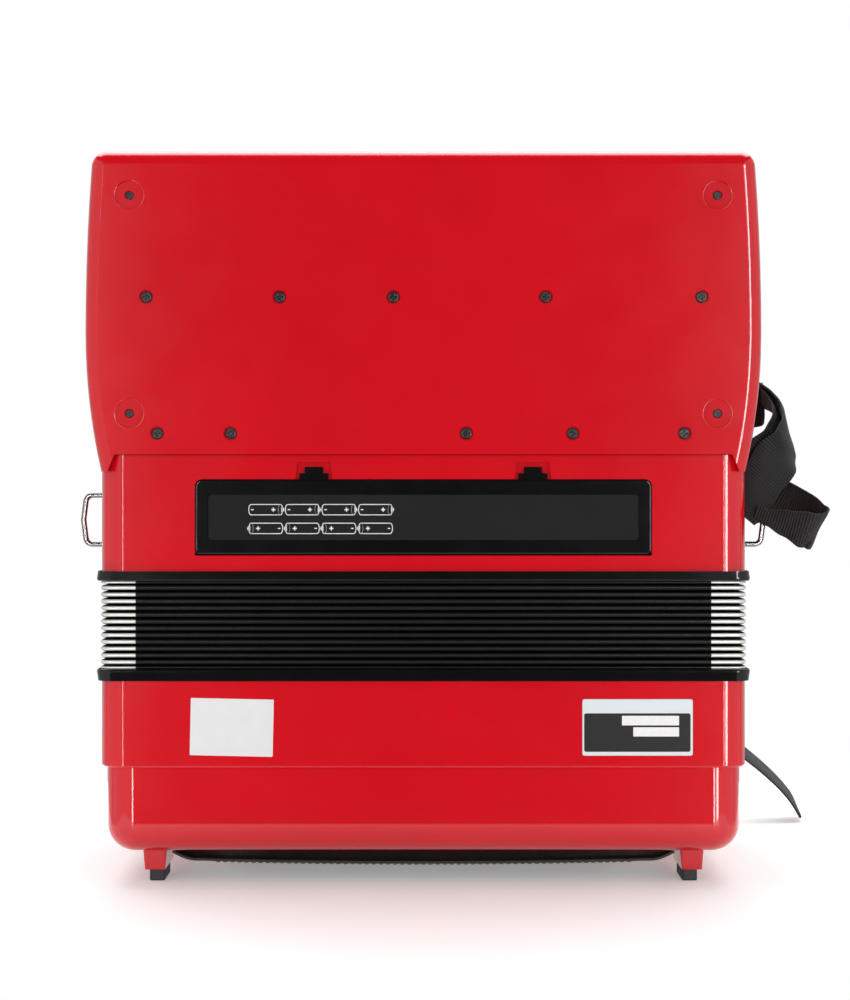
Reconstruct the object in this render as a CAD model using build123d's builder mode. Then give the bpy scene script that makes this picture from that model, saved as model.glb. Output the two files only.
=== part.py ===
from build123d import *
from math import cos, pi, radians, sin
import os

# A 26-key digital piano accordion, standing on the feet of its bass end with the bellows closed.
# +Z runs from the feet up to the keyboard end, -Y is the player's side, +Y the side of the keys and
# the grille, X runs along the keyboard. The origin is on the floor, midway between the four feet.
# Sizes are in millimetres.

# ---- clearances ----
SEAM = 0.2            # between fixed pieces that butt together
GAP = 0.35            # between pieces that move past each other
RUN = 0.05            # radial, shaft in bore

# ---- body ----
BODY_W = 368.0
BODY_D = 200.0
CORNER_R = 14.0
WALL = 2.8

# ---- heights of the stack, floor to deck ----
PAD_H = 6.3
FOOT_H = 11.5
COVER_H = 49.6
BASS_H = 49.3
LOWER_FRAME_H = 6.7
FOLDS = 13
FOLD_PITCH = 3.83
UPPER_FRAME_H = 5.6
TREBLE_BACK_H = 65.8
TREBLE_FRONT_H = 115.0

COVER_Z = PAD_H + FOOT_H
BASS_Z = COVER_Z + COVER_H + SEAM
LOWER_FRAME_Z = BASS_Z + BASS_H
BELLOWS_Z = LOWER_FRAME_Z + LOWER_FRAME_H
UPPER_FRAME_Z = BELLOWS_Z + FOLDS * FOLD_PITCH
TREBLE_Z = UPPER_FRAME_Z + UPPER_FRAME_H
SHELF_Z = TREBLE_Z + TREBLE_BACK_H
DECK_Z = TREBLE_Z + TREBLE_FRONT_H

# ---- treble body ----
DECK_BACK_Y = -44.0
SHOULDER_Y = -10.0        # where the flat deck ends and the rounded shoulder starts
SHOULDER_H = 85.0         # drop of the shoulder from the deck to the upright front
BAFFLE_Y = 30.0           # front of the wall that carries the loudspeakers
SILL_H = 21.0             # front wall under the grille
GRILLE_T = 2.4
CLOTH_T = 0.6
SLOT_W = 2.6
SLOT_L = 24.0
SLOT_PITCH = 8.4
SLOT_ROW_PITCH = 31.0
SLOT_COLUMNS = 36
SLOT_ROWS = 3
SHOULDER_TILT = 40.0      # degrees, direction that the middle of the slots faces, up from +Y
SPEAKER_R = 36.0
SPEAKER_X = 92.0
SPEAKER_H = 62.5          # centre above the treble floor
FLANGE_R = 40.0
FLANGE_T = 3.0
CONE_WALL = 5.0
CONE_DEEP = 12.0
BASKET_L = 22.0
MAGNET_R = 20.0
MAGNET_L = 12.0
BOARD_STAND = 8.0         # main board above the treble case's inner floor
MAIN_BOARD_W = 286.0
MAIN_BOARD_D = 76.0
MAIN_BOARD_T = 1.6
MAIN_BOARD_Y = -18.0
CHIP_H = 2.4

# ---- keyboard casing ----
CASE_D = 60.0             # back to the root of the cheeks
CASE_PROUD = 4.0          # how far the casing's back stands behind the treble body's
CASE_H = 172.0            # flat back
CASE_W = 383.7
CASE_TOP_W = 375.4
CASE_TIP_W = 365.7
CASE_CUT_W = 348.8         # end of the flat back, where the slanted edges of the tips start
TIP_CUT_W = 357.0         # between the slanted edges, at the tips' lower end
CASE_WIDE_H = 69.0        # widest point above the flat back's lower edge
TIP_DROP = 9.6
CASE_TOP_R = 9.0
CASE_EDGE_R = 8.0
CASE_WALL = 3.4
CHEEK_FRONT = 12.0        # step from the root of a cheek back to its upper front
CHEEK_STEP_H = 12.0
CHEEK_W = 15.2

CASE_BACK_Y = -BODY_D / 2 - CASE_PROUD
CASE_Z = SHELF_Z + SEAM
CASE_TOP_Z = CASE_Z + CASE_H
POCKET_W = CASE_W - 2 * CHEEK_W
CHEEK_Y = DECK_BACK_Y - SEAM - CHEEK_FRONT

# ---- keys ----
WHITE_COUNT = 16
KEY_PITCH = 21.4
KEY_SPACE = 1.0
KEY_T = 13.0
KEY_SINK = 2.0            # key tops behind the cheeks' front
KEY_HEAD_L = 48.0
BLACK_L = 74.0
BLACK_RISE = 10.0
AXLE_R = 2.0
AXLE_H = 21.4             # axle above the flat back's lower edge
TAIL_L = 10.0
SWING = 1.6               # degrees
KEY_TOP_Y = CHEEK_Y - KEY_SINK
KEY_LOW_Y = KEY_TOP_Y - KEY_T
AXLE_Y = KEY_TOP_Y - KEY_T / 2
AXLE_Z = CASE_Z + AXLE_H
KEY_END_Z = CASE_TOP_Z - 1.6
KEYS_LEFT = -WHITE_COUNT * KEY_PITCH / 2
BLACK_END_Z = KEY_END_Z - KEY_HEAD_L - KEY_SPACE
BED_T = 6.0
BED_MARGIN = 8.0
RAIL_H = 6.0
EAR_T = 3.0
EAR_R = 7.0

# ---- screws of the keyboard back ----
SCREW_R = 1.5
SCREW_L = 7.2
HEAD_R = 3.2
HEAD_H = 1.2
HEAD_BORE_R = 4.0
CORNER_HEAD_R = 2.4        # the screws in the dishes are smaller
CORNER_BORE_R = 2.8
DISH_R = 8.5
DISH_DEEP = 1.0
CORNER_SCREW_X = 166.0
CORNER_SCREW_H = (23.1, 146.3)
MIDDLE_SCREW_H = 88.9
MIDDLE_SCREW_X = (-156.4, -81.2, -17.0, 69.0, 157.1)
LOWER_SCREW_H = 11.9
LOWER_SCREW_X = (-150.2, -108.8, 24.2, 84.3, 147.3)

# ---- battery door and tray ----
DOOR_W = 258.0
DOOR_H = 42.5
DOOR_LOW = 9.2            # door's lower edge above the treble floor
DOOR_PROUD = 0.8
DOOR_T = 2.6
DOOR_R = 4.0
BARREL_R = 2.0
TRUNNION_R = 1.0
TRUNNION_L = 4.0
DOOR_EDGE_R = 0.8
PANEL_SIDE = 6.9
PANEL_END = 8.0
PANEL_DEEP = 0.5
LATCH_X = 62.0
NOTCH_W = 21.0
NOTCH_H = 9.0
TAB_W = 16.4
TAB_NECK_W = 10.2
TAB_BAR_H = 2.6
TAB_BAR_PROUD = 0.5
CELL_R = 7.1
CELL_L = 50.4
NUB_R = 2.7
NUB_L = 1.0
CELLS_IN_ROW = 4
CELL_ROW_PITCH = 16.6
TRAY_WALL = 1.6
CONTACT_SPACE = 5.0
CONTACT_T = 0.5
TRAY_SETBACK = 3.9

DOOR_Z = TREBLE_Z + DOOR_LOW
DOOR_AXIS_Z = DOOR_Z + BARREL_R
DOOR_OUT_Y = -BODY_D / 2 - DOOR_PROUD
DOOR_AXIS_Y = DOOR_OUT_Y + BARREL_R
TRAY_Y = -BODY_D / 2 + TRAY_SETBACK
TRAY_MID_Z = DOOR_Z + DOOR_H / 2 + 1.2
CELL_Y = TRAY_Y + 1.2 + CELL_R
TRAY_BACK_Y = CELL_Y + CELL_R + SEAM
ROW_L = CELLS_IN_ROW * CELL_L + 2 * CONTACT_SPACE

# ---- controls on the deck ----
REGISTERS = 8
REGISTER_PITCH = 26.0
REGISTER_W = 17.0
REGISTER_D = 9.0
REGISTER_H = 3.5
REGISTER_TRAVEL = 1.5
KNOB_X = -132.0
KNOB_R = 8.5
KNOB_H = 11.0
SHAFT_R = 3.0
CONTROL_Y = (DECK_BACK_Y + SHOULDER_Y) / 2

# ---- bellows and frames ----
BELLOWS_W = 366.2
BELLOWS_D = 198.0
BELLOWS_R = 5.0
RIDGE_T = 2.9
FOLD_DEPTH = 7.0
BELLOWS_WALL = 14.0
CAP_L = 20.0
CAP_T = 0.4
FRAME_W = 372.0
FRAME_D = 205.0
FRAME_R = 9.0
FRAME_BORDER = 17.0

# ---- bass end ----
COVER_W = 363.6
COVER_D = 194.0
COVER_R = 17.0
COVER_EDGE_R = 16.0
RIM = 9.0
BOARD_W = 232.0
BOARD_D = 84.0
BOARD_Y = 28.0
BOARD_LIP = 4.0
BUTTONS = 12
BUTTON_ROWS = 6
BUTTON_PITCH = 16.0
BUTTON_ROW_PITCH = 12.4
BUTTON_SLANT = 3.0        # shift of each row along X against the one before
BUTTON_R = 4.0
BUTTON_OUT = 5.0
BUTTON_TRAVEL = 3.0
BUTTON_FLANGE_R = 5.2
BUTTON_FLANGE_T = 1.2
AIR_X = -135.0
AIR_Y = 4.0
AIR_R = 7.0
AIR_OUT = 5.5
AIR_TRAVEL = 4.0
FOOT_W = 14.0
FOOT_D = 42.0
FOOT_X = 154.8
FOOT_DRAFT = 5.0          # degrees
PAD_W = 8.8
PAD_D = 26.0
PAD_IN = 1.4              # pad's centre inside the foot's, along X
FOOT_Y = COVER_D / 2 - COVER_EDGE_R - FOOT_D / 2
PAD_Y = COVER_D / 2 - COVER_EDGE_R - PAD_D / 2 - 0.6

# ---- bass hand strap ----
HAND_Y = -54.0
HAND_W = 48.0
HAND_T = 3.2
HAND_LOW = 8.4
HAND_END_LOW = 10.4
HAND_HALF = 146.4

# ---- shoulder strap and its brackets ----
BRACKET_Y = -60.0
BRACKET_LOW = 14.4        # lower bar above the treble floor
BRACKET_H = 28.7
BRACKET_OUT = 15.3
BRACKET_BOW = 1.8
WIRE_R = 1.6
PLATE_T = 1.6
PLATE_W = 7.2
RIVET_R = 2.2
RIVET_H = 1.4
WEBBING_W = 28.0
WEBBING_T = 1.8
STRAP_X = 150.0
STRAP_W = 28.0
STRAP_T = 2.6

# ---- labels ----
RATING_W = 62.5
RATING_H = 32.0
RATING_X = 121.2
PAPER_W = 47.0
PAPER_H = 32.5
PAPER_X = -108.5
LABEL_H = 23.0            # label centres above the bass case's lower edge
RATING_T = 0.5
PAPER_T = 0.25

os.makedirs("parts", exist_ok=True)


def save(part, name):
    """Label a finished piece and write it as its own STEP file."""
    part.label = name
    export_step(part, f"parts/{name}.step")


# ==================================================================== treble body
def treble_form(inset):
    """Outer form of the treble body, drawn in by inset on every side."""
    back = -BODY_D / 2 + inset
    front = BODY_D / 2 - inset
    wall = DECK_BACK_Y + inset
    low = TREBLE_Z + inset
    shelf = SHELF_Z - inset
    deck = DECK_Z - inset
    bend = DECK_Z - SHOULDER_H
    with BuildPart() as form:
        with BuildSketch(Plane.YZ.offset(-BODY_W / 2 + inset)):
            with BuildLine():
                Polyline((SHOULDER_Y, deck), (wall, deck), (wall, shelf), (back, shelf), (back, low))
                Polyline((back, low), (front, low), (front, bend))
                EllipticalCenterArc((SHOULDER_Y, bend), front - SHOULDER_Y, deck - bend, arc_size=90)
            make_face()
        extrude(amount=BODY_W - 2 * inset)
        sides = form.faces().sort_by(Axis.X)
        corners = [edge for face in (sides[0], sides[-1]) for edge in face.edges()
                   if edge.center().Y < back + 1
                   or (edge.center().Y > wall + 5 and edge.center().Z > low + 1)]
        fillet(corners, CORNER_R - inset)
    return form.part


def front_region(y, z, reach):
    """Block in front of y and above z, where the grille sits."""
    with BuildPart() as region:
        with BuildSketch(Plane.XY.offset(z)):
            with Locations((0, y + reach / 2)):
                Rectangle(BODY_W + 2 * reach, reach)
        extrude(amount=2 * BODY_D)
    return region.part


def treble_cavity():
    """Hollow of the treble case: its inner form, less the room under the grille."""
    with BuildPart() as cavity:
        add(treble_form(WALL))
        add(front_region(BAFFLE_Y - WALL, TREBLE_Z + SILL_H - WALL, BODY_D), mode=Mode.SUBTRACT)
    return cavity.part


with BuildPart() as treble_case:
    add(treble_form(0))
    add(treble_cavity(), mode=Mode.SUBTRACT)
    add(front_region(BAFFLE_Y, TREBLE_Z + SILL_H, BODY_D), mode=Mode.SUBTRACT)
    # door opening with its two latch notches
    with BuildSketch(Plane.XZ.offset(BODY_D / 2)):
        with Locations((0, DOOR_Z + DOOR_H / 2)):
            RectangleRounded(DOOR_W + 2 * GAP, DOOR_H + 2 * GAP, DOOR_R)
        with Locations((0, DOOR_Z + DOOR_H / 4)):
            Rectangle(DOOR_W + 2 * GAP, DOOR_H / 2 + 2 * GAP)
    extrude(amount=-WALL, mode=Mode.SUBTRACT)
    with BuildSketch(Plane.XZ.offset(BODY_D / 2)):
        with Locations(*[(side * LATCH_X, DOOR_Z + DOOR_H + NOTCH_H / 2) for side in (-1, 1)]):
            Trapezoid(NOTCH_W, NOTCH_H + 2, 84)
    extrude(amount=-(DOOR_T - DOOR_PROUD + GAP), mode=Mode.SUBTRACT)
    # bosses that hold the door's trunnions
    boss_x = DOOR_W / 2 + GAP + (TRUNNION_L + 1) / 2
    with Locations(*[(side * boss_x, -BODY_D / 2 + 2.5, DOOR_AXIS_Z) for side in (-1, 1)]):
        Box(TRUNNION_L + 1, 5, 7)
    with BuildSketch(Plane.YZ.offset(-DOOR_W / 2 - TRUNNION_L - GAP)):
        with Locations((DOOR_AXIS_Y, DOOR_AXIS_Z)):
            Circle(TRUNNION_R + RUN)
    extrude(amount=DOOR_W + 2 * TRUNNION_L + 2 * GAP, mode=Mode.SUBTRACT)
    # posts under the battery tray and the main board
    tray_low = TRAY_MID_Z - CELL_ROW_PITCH / 2 - CELL_R - SEAM - TRAY_WALL
    with BuildSketch(Plane.XY.offset(TREBLE_Z + WALL)):
        with Locations((0, (CELL_Y + TRAY_BACK_Y) / 2)):
            with GridLocations(ROW_L - 20, 1, 2, 1):
                Rectangle(8, 8)
    extrude(amount=tray_low - TREBLE_Z - WALL)
    with BuildSketch(Plane.XY.offset(TREBLE_Z + WALL)):
        with Locations((0, MAIN_BOARD_Y)):
            with GridLocations(MAIN_BOARD_W - 16, MAIN_BOARD_D - 16, 2, 2):
                Circle(4)
    extrude(amount=BOARD_STAND)
    # loudspeaker holes
    with BuildSketch(Plane.XZ.offset(-BAFFLE_Y)):
        with Locations(*[(side * SPEAKER_X, TREBLE_Z + SPEAKER_H) for side in (-1, 1)]):
            Circle(SPEAKER_R + GAP)
    extrude(amount=WALL, mode=Mode.SUBTRACT)
    # holes of the deck controls
    with BuildSketch(Plane.XY.offset(DECK_Z)):
        with Locations((0, CONTROL_Y)):
            with GridLocations(REGISTER_PITCH, 1, REGISTERS, 1):
                Rectangle(REGISTER_W + 2 * GAP, REGISTER_D + 2 * GAP)
        with Locations((KNOB_X, CONTROL_Y)):
            Circle(SHAFT_R + RUN)
    extrude(amount=-WALL, mode=Mode.SUBTRACT)
save(treble_case.part, "treble_case")


def grille_skin(outer, inner):
    """Curved skin over the front and shoulder, between two insets of the treble form."""
    with BuildPart() as skin:
        add(treble_form(outer))
        add(treble_form(inner), mode=Mode.SUBTRACT)
        add(front_region(BAFFLE_Y + SEAM, TREBLE_Z + SILL_H + SEAM, BODY_D), mode=Mode.INTERSECT)
    return skin.part


shoulder_tilt = radians(SHOULDER_TILT)
slot_plane = Plane(
    origin=(0, SHOULDER_Y + (BODY_D / 2 - SHOULDER_Y) * cos(shoulder_tilt),
            DECK_Z - SHOULDER_H + SHOULDER_H * sin(shoulder_tilt)),
    x_dir=(1, 0, 0), z_dir=(0, cos(shoulder_tilt), sin(shoulder_tilt)))

with BuildPart() as treble_grille:
    add(grille_skin(0, GRILLE_T))
    with BuildSketch(slot_plane.offset(4)):
        with GridLocations(SLOT_PITCH, SLOT_ROW_PITCH, SLOT_COLUMNS, SLOT_ROWS):
            SlotOverall(SLOT_L, SLOT_W, rotation=90)
    extrude(amount=-26, mode=Mode.SUBTRACT)
save(treble_grille.part, "treble_grille")

save(grille_skin(GRILLE_T + SEAM, GRILLE_T + SEAM + CLOTH_T), "grille_cloth")

with BuildPart() as speakers:
    for side in (-1, 1):
        with BuildSketch(Plane.XZ.offset(-BAFFLE_Y)):
            with Locations((side * SPEAKER_X, TREBLE_Z + SPEAKER_H)):
                Circle(FLANGE_R)
        extrude(amount=-FLANGE_T)
        with BuildSketch(Plane.XZ.offset(-BAFFLE_Y)):
            with Locations((side * SPEAKER_X, TREBLE_Z + SPEAKER_H)):
                Circle(SPEAKER_R)
        extrude(amount=BASKET_L, taper=32)
        with BuildSketch(Plane.XZ.offset(-BAFFLE_Y + BASKET_L - 1)):
            with Locations((side * SPEAKER_X, TREBLE_Z + SPEAKER_H)):
                Circle(MAGNET_R)
        extrude(amount=MAGNET_L)
        with BuildSketch(Plane.XZ.offset(-BAFFLE_Y - FLANGE_T)):
            with Locations((side * SPEAKER_X, TREBLE_Z + SPEAKER_H)):
                Circle(SPEAKER_R - CONE_WALL)
        extrude(amount=CONE_DEEP, taper=50, mode=Mode.SUBTRACT)
save(speakers.part, "speakers")

with BuildPart() as main_board:
    with BuildSketch(Plane.XY.offset(TREBLE_Z + WALL + BOARD_STAND)):
        with Locations((0, MAIN_BOARD_Y)):
            Rectangle(MAIN_BOARD_W, MAIN_BOARD_D)
    extrude(amount=MAIN_BOARD_T)
    with BuildSketch(Plane.XY.offset(TREBLE_Z + WALL + BOARD_STAND + MAIN_BOARD_T)):
        with Locations((-90, MAIN_BOARD_Y + 6), (0, MAIN_BOARD_Y), (74, MAIN_BOARD_Y + 12)):
            Rectangle(26, 26)
        with Locations((-40, MAIN_BOARD_Y - 16), (40, MAIN_BOARD_Y - 20), (112, MAIN_BOARD_Y - 12)):
            Rectangle(12, 20)
    extrude(amount=CHIP_H)
save(main_board.part, "main_board")


# ==================================================================== battery bay
with BuildPart() as battery_tray:
    with BuildSketch(Plane.XZ.offset(-TRAY_Y)):
        with Locations((0, TRAY_MID_Z)):
            Rectangle(DOOR_W - 2, DOOR_H - 6)
    extrude(amount=-1.2)
    with BuildSketch(Plane.XZ.offset(-TRAY_Y)):
        with Locations((0, TRAY_MID_Z)):
            Rectangle(ROW_L + 2 * TRAY_WALL, CELL_ROW_PITCH + 2 * (CELL_R + SEAM + TRAY_WALL))
    extrude(amount=-(TRAY_BACK_Y + TRAY_WALL - TRAY_Y))
    with BuildSketch(Plane.XZ.offset(-TRAY_Y)):
        with Locations((0, TRAY_MID_Z)):
            Rectangle(ROW_L, CELL_ROW_PITCH + 2 * (CELL_R + SEAM))
    extrude(amount=-(TRAY_BACK_Y - TRAY_Y), mode=Mode.SUBTRACT)
    with Locations((0, (CELL_Y + TRAY_BACK_Y) / 2, TRAY_MID_Z)):
        Box(ROW_L, TRAY_BACK_Y - CELL_Y, 1.2)
save(battery_tray.part, "battery_tray")


def cell_row(z, pole):
    """One row of cells lying along X at height z, with their positive ends towards pole."""
    for i in range(CELLS_IN_ROW):
        x = (i - (CELLS_IN_ROW - 1) / 2) * CELL_L
        with Locations((x - pole * NUB_L / 2, CELL_Y, z)):
            Cylinder(CELL_R, CELL_L - NUB_L - SEAM, rotation=(0, 90, 0))
        with Locations((x + pole * (CELL_L - NUB_L - SEAM) / 2, CELL_Y, z)):
            Cylinder(NUB_R, NUB_L, rotation=(0, 90, 0))


with BuildPart() as batteries:
    cell_row(TRAY_MID_Z + CELL_ROW_PITCH / 2, 1)
    cell_row(TRAY_MID_Z - CELL_ROW_PITCH / 2, -1)
save(batteries.part, "batteries")

with BuildPart() as battery_contacts:
    for side in (-1, 1):
        for row in (-1, 1):
            z = TRAY_MID_Z + row * CELL_ROW_PITCH / 2
            with Locations((side * (ROW_L / 2 - CONTACT_T / 2), CELL_Y, z)):
                Box(CONTACT_T, 11, 12)
            spring_l = CONTACT_SPACE - CONTACT_T - NUB_L / 2 - SEAM
            with Locations((side * (ROW_L / 2 - CONTACT_T - spring_l / 2), CELL_Y, z)):
                Cone(2.6, 4.6, spring_l, rotation=(0, side * 90, 0))
save(battery_contacts.part, "battery_contacts")

with BuildPart() as battery_door:
    with BuildSketch(Plane.XZ.offset(-DOOR_OUT_Y)):
        with Locations((0, DOOR_Z + BARREL_R / 2 + DOOR_H / 2)):
            Rectangle(DOOR_W, DOOR_H - BARREL_R)
    extrude(amount=-DOOR_T)
    fillet(battery_door.edges().filter_by(Axis.Y).group_by(Axis.Z)[-1], DOOR_R)
    face_edges = battery_door.faces().sort_by(Axis.Y)[0].edges()
    fillet([edge for edge in face_edges if edge.center().Z > DOOR_Z + BARREL_R + 0.1], DOOR_EDGE_R)
    with BuildSketch(Plane.YZ.offset(-DOOR_W / 2)):
        with Locations((DOOR_AXIS_Y, DOOR_AXIS_Z)):
            Circle(BARREL_R)
    extrude(amount=DOOR_W)
    # lower corners rounded like the upper ones
    corner_x, corner_z = DOOR_W / 2 - DOOR_R / 2, DOOR_Z + DOOR_R / 2
    with BuildSketch(Plane.XZ.offset(-DOOR_OUT_Y)):
        with Locations(*[(side * corner_x, corner_z) for side in (-1, 1)]):
            Rectangle(DOOR_R, DOOR_R)
        with Locations(*[(side * (DOOR_W / 2 - DOOR_R), DOOR_Z + DOOR_R) for side in (-1, 1)]):
            Circle(DOOR_R, mode=Mode.SUBTRACT)
    extrude(amount=-2 * BARREL_R, mode=Mode.SUBTRACT)
    with BuildSketch(Plane.YZ.offset(-DOOR_W / 2 - TRUNNION_L)):
        with Locations((DOOR_AXIS_Y, DOOR_AXIS_Z)):
            Circle(TRUNNION_R)
    extrude(amount=DOOR_W + 2 * TRUNNION_L)
    with BuildSketch(Plane.XZ.offset(-DOOR_OUT_Y)):
        with Locations((0, DOOR_Z + DOOR_H / 2)):
            RectangleRounded(DOOR_W - 2 * PANEL_SIDE, DOOR_H - 2 * PANEL_END, 2)
    extrude(amount=-PANEL_DEEP, mode=Mode.SUBTRACT)
    # latch tabs: a wide root and a narrow finger
    for side in (-1, 1):
        with BuildSketch(Plane.XZ.offset(-DOOR_OUT_Y - DOOR_PROUD)):
            with Locations((side * LATCH_X, DOOR_Z + DOOR_H + 1.2)):
                Rectangle(TAB_W, 5)
            with Locations((side * LATCH_X, DOOR_Z + DOOR_H + 3.6)):
                Rectangle(TAB_NECK_W, NOTCH_H - 1.6)
        extrude(amount=-(DOOR_T - DOOR_PROUD))
        with BuildSketch(Plane.XZ.offset(-DOOR_OUT_Y - DOOR_PROUD)):
            with Locations((side * LATCH_X, DOOR_Z + DOOR_H + NOTCH_H - 1.8 - TAB_BAR_H / 2)):
                Rectangle(TAB_NECK_W - 1, TAB_BAR_H)
        extrude(amount=TAB_BAR_PROUD)
save(battery_door.part, "battery_door")


# ==================================================================== deck controls
with BuildPart() as register_buttons:
    with BuildSketch(Plane.XY.offset(DECK_Z - WALL - GAP)):
        with Locations((0, CONTROL_Y)):
            with GridLocations(REGISTER_PITCH, 1, REGISTERS, 1):
                Rectangle(REGISTER_W, REGISTER_D)
    extrude(amount=WALL + GAP + REGISTER_H)
    fillet(register_buttons.faces().group_by(Axis.Z)[-1].edges(), 1.0)
    with BuildSketch(Plane.XY.offset(DECK_Z - WALL - GAP)):
        with Locations((0, CONTROL_Y)):
            with GridLocations(REGISTER_PITCH, 1, REGISTERS, 1):
                Rectangle(REGISTER_W + 3, REGISTER_D + 3)
    extrude(amount=-1.4)
save(register_buttons.part, "register_buttons")

with BuildPart() as volume_knob:
    with BuildSketch(Plane.XY.offset(DECK_Z + GAP)):
        with Locations((KNOB_X, CONTROL_Y)):
            Circle(KNOB_R)
    extrude(amount=KNOB_H, taper=4)
    fillet(volume_knob.faces().sort_by(Axis.Z)[-1].edges(), 1.2)
    with BuildSketch(Plane.XY.offset(DECK_Z + GAP)):
        with Locations((KNOB_X, CONTROL_Y)):
            Circle(SHAFT_R)
    extrude(amount=-(WALL + GAP + 6))
    with BuildSketch(Plane.XY.offset(DECK_Z + GAP + KNOB_H)):
        with Locations((KNOB_X, CONTROL_Y + KNOB_R / 2)):
            Rectangle(1.2, KNOB_R * 0.7)
    extrude(amount=-0.8, mode=Mode.SUBTRACT)
save(volume_knob.part, "volume_knob")


# ==================================================================== keyboard casing
dish_places = [(side * CORNER_SCREW_X, CASE_Z + h) for side in (-1, 1) for h in CORNER_SCREW_H]
flat_places = [(x, CASE_Z + MIDDLE_SCREW_H) for x in MIDDLE_SCREW_X]
flat_places += [(x, CASE_Z + LOWER_SCREW_H) for x in LOWER_SCREW_X]
screw_places = dish_places + flat_places

with BuildPart() as keyboard_back_cover:
    with BuildSketch(Plane.XZ.offset(-CASE_BACK_Y)):
        with BuildLine():
            widest = (CASE_W / 2, CASE_Z + CASE_WIDE_H)
            tip = (CASE_TIP_W / 2, CASE_Z - TIP_DROP)
            shoulder = (CASE_TOP_W / 2, CASE_TOP_Z)
            TangentArc(widest, shoulder, tangent=(0, 1))
            TangentArc(widest, tip, tangent=(0, -1))
            Line(shoulder, (0, CASE_TOP_Z))
            Line(tip, (0, CASE_Z - TIP_DROP))
            mirror(about=Plane.YZ)
        make_face()
    extrude(amount=-(CASE_D - SEAM))
    fillet(keyboard_back_cover.edges().filter_by(Axis.Y).group_by(Axis.Z)[-1], CASE_TOP_R)
    back_face = keyboard_back_cover.faces().sort_by(Axis.Y)[0]
    fillet([edge for edge in back_face.edges() if edge.center().Z > CASE_Z - TIP_DROP + 1], CASE_EDGE_R)
    # the cheeks step back above their root
    step_z = DECK_Z + SEAM + 2
    root_y = DECK_BACK_Y - SEAM
    with BuildSketch(Plane.YZ.offset(-CASE_W / 2 - 1)):
        with BuildLine():
            Polyline((root_y + 1, step_z), (root_y, step_z), (CHEEK_Y, step_z + CHEEK_STEP_H),
                     (CHEEK_Y, CASE_TOP_Z + 1), (root_y + 1, CASE_TOP_Z + 1), (root_y + 1, step_z))
        make_face()
    extrude(amount=CASE_W + 2, mode=Mode.SUBTRACT)
    # pocket for the key bed and keys, open at the front and over the key ends
    with BuildSketch(Plane.XZ.offset(-CASE_BACK_Y - CASE_WALL)):
        with Locations((0, (CASE_Z - TIP_DROP - 1 + CASE_TOP_Z - CASE_WALL) / 2)):
            Rectangle(POCKET_W, CASE_H + TIP_DROP + 1 - CASE_WALL)
    extrude(amount=-CASE_D, mode=Mode.SUBTRACT)
    end_drop = (KEY_END_Z - AXLE_Z) * sin(radians(SWING))
    with BuildSketch(Plane.XZ.offset(-(KEY_LOW_Y - end_drop - 2 * GAP))):
        with Locations((0, CASE_TOP_Z)):
            Rectangle(POCKET_W, 4 * CASE_WALL)
    extrude(amount=-CASE_D, mode=Mode.SUBTRACT)
    # the flat back ends above the tips of the cheeks, which hug the treble body's corners
    with BuildSketch(Plane.XZ.offset(-CASE_BACK_Y + 1)):
        with BuildLine():
            Polyline((-TIP_CUT_W / 2, CASE_Z - TIP_DROP), (-CASE_CUT_W / 2, CASE_Z), (CASE_CUT_W / 2, CASE_Z),
                     (TIP_CUT_W / 2, CASE_Z - TIP_DROP), (TIP_CUT_W / 2, CASE_Z - 2 * TIP_DROP),
                     (-TIP_CUT_W / 2, CASE_Z - 2 * TIP_DROP), (-TIP_CUT_W / 2, CASE_Z - TIP_DROP))
        make_face()
    extrude(amount=-CASE_D, mode=Mode.SUBTRACT)
    add(treble_form(-SEAM), mode=Mode.SUBTRACT)
    # dishes, screw head bores and screw holes
    with BuildSketch(Plane.XZ.offset(-CASE_BACK_Y)):
        with Locations(*dish_places):
            Circle(DISH_R)
    extrude(amount=-DISH_DEEP, mode=Mode.SUBTRACT)
    with BuildSketch(Plane.XZ.offset(-CASE_BACK_Y)):
        with Locations(*flat_places):
            Circle(HEAD_BORE_R)
        with Locations(*dish_places):
            Circle(CORNER_BORE_R)
    extrude(amount=-(DISH_DEEP + HEAD_H), mode=Mode.SUBTRACT)
    with BuildSketch(Plane.XZ.offset(-CASE_BACK_Y)):
        with Locations(*screw_places):
            Circle(SCREW_R + GAP / 2)
    extrude(amount=-CASE_WALL, mode=Mode.SUBTRACT)
save(keyboard_back_cover.part, "keyboard_back_cover")

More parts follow.
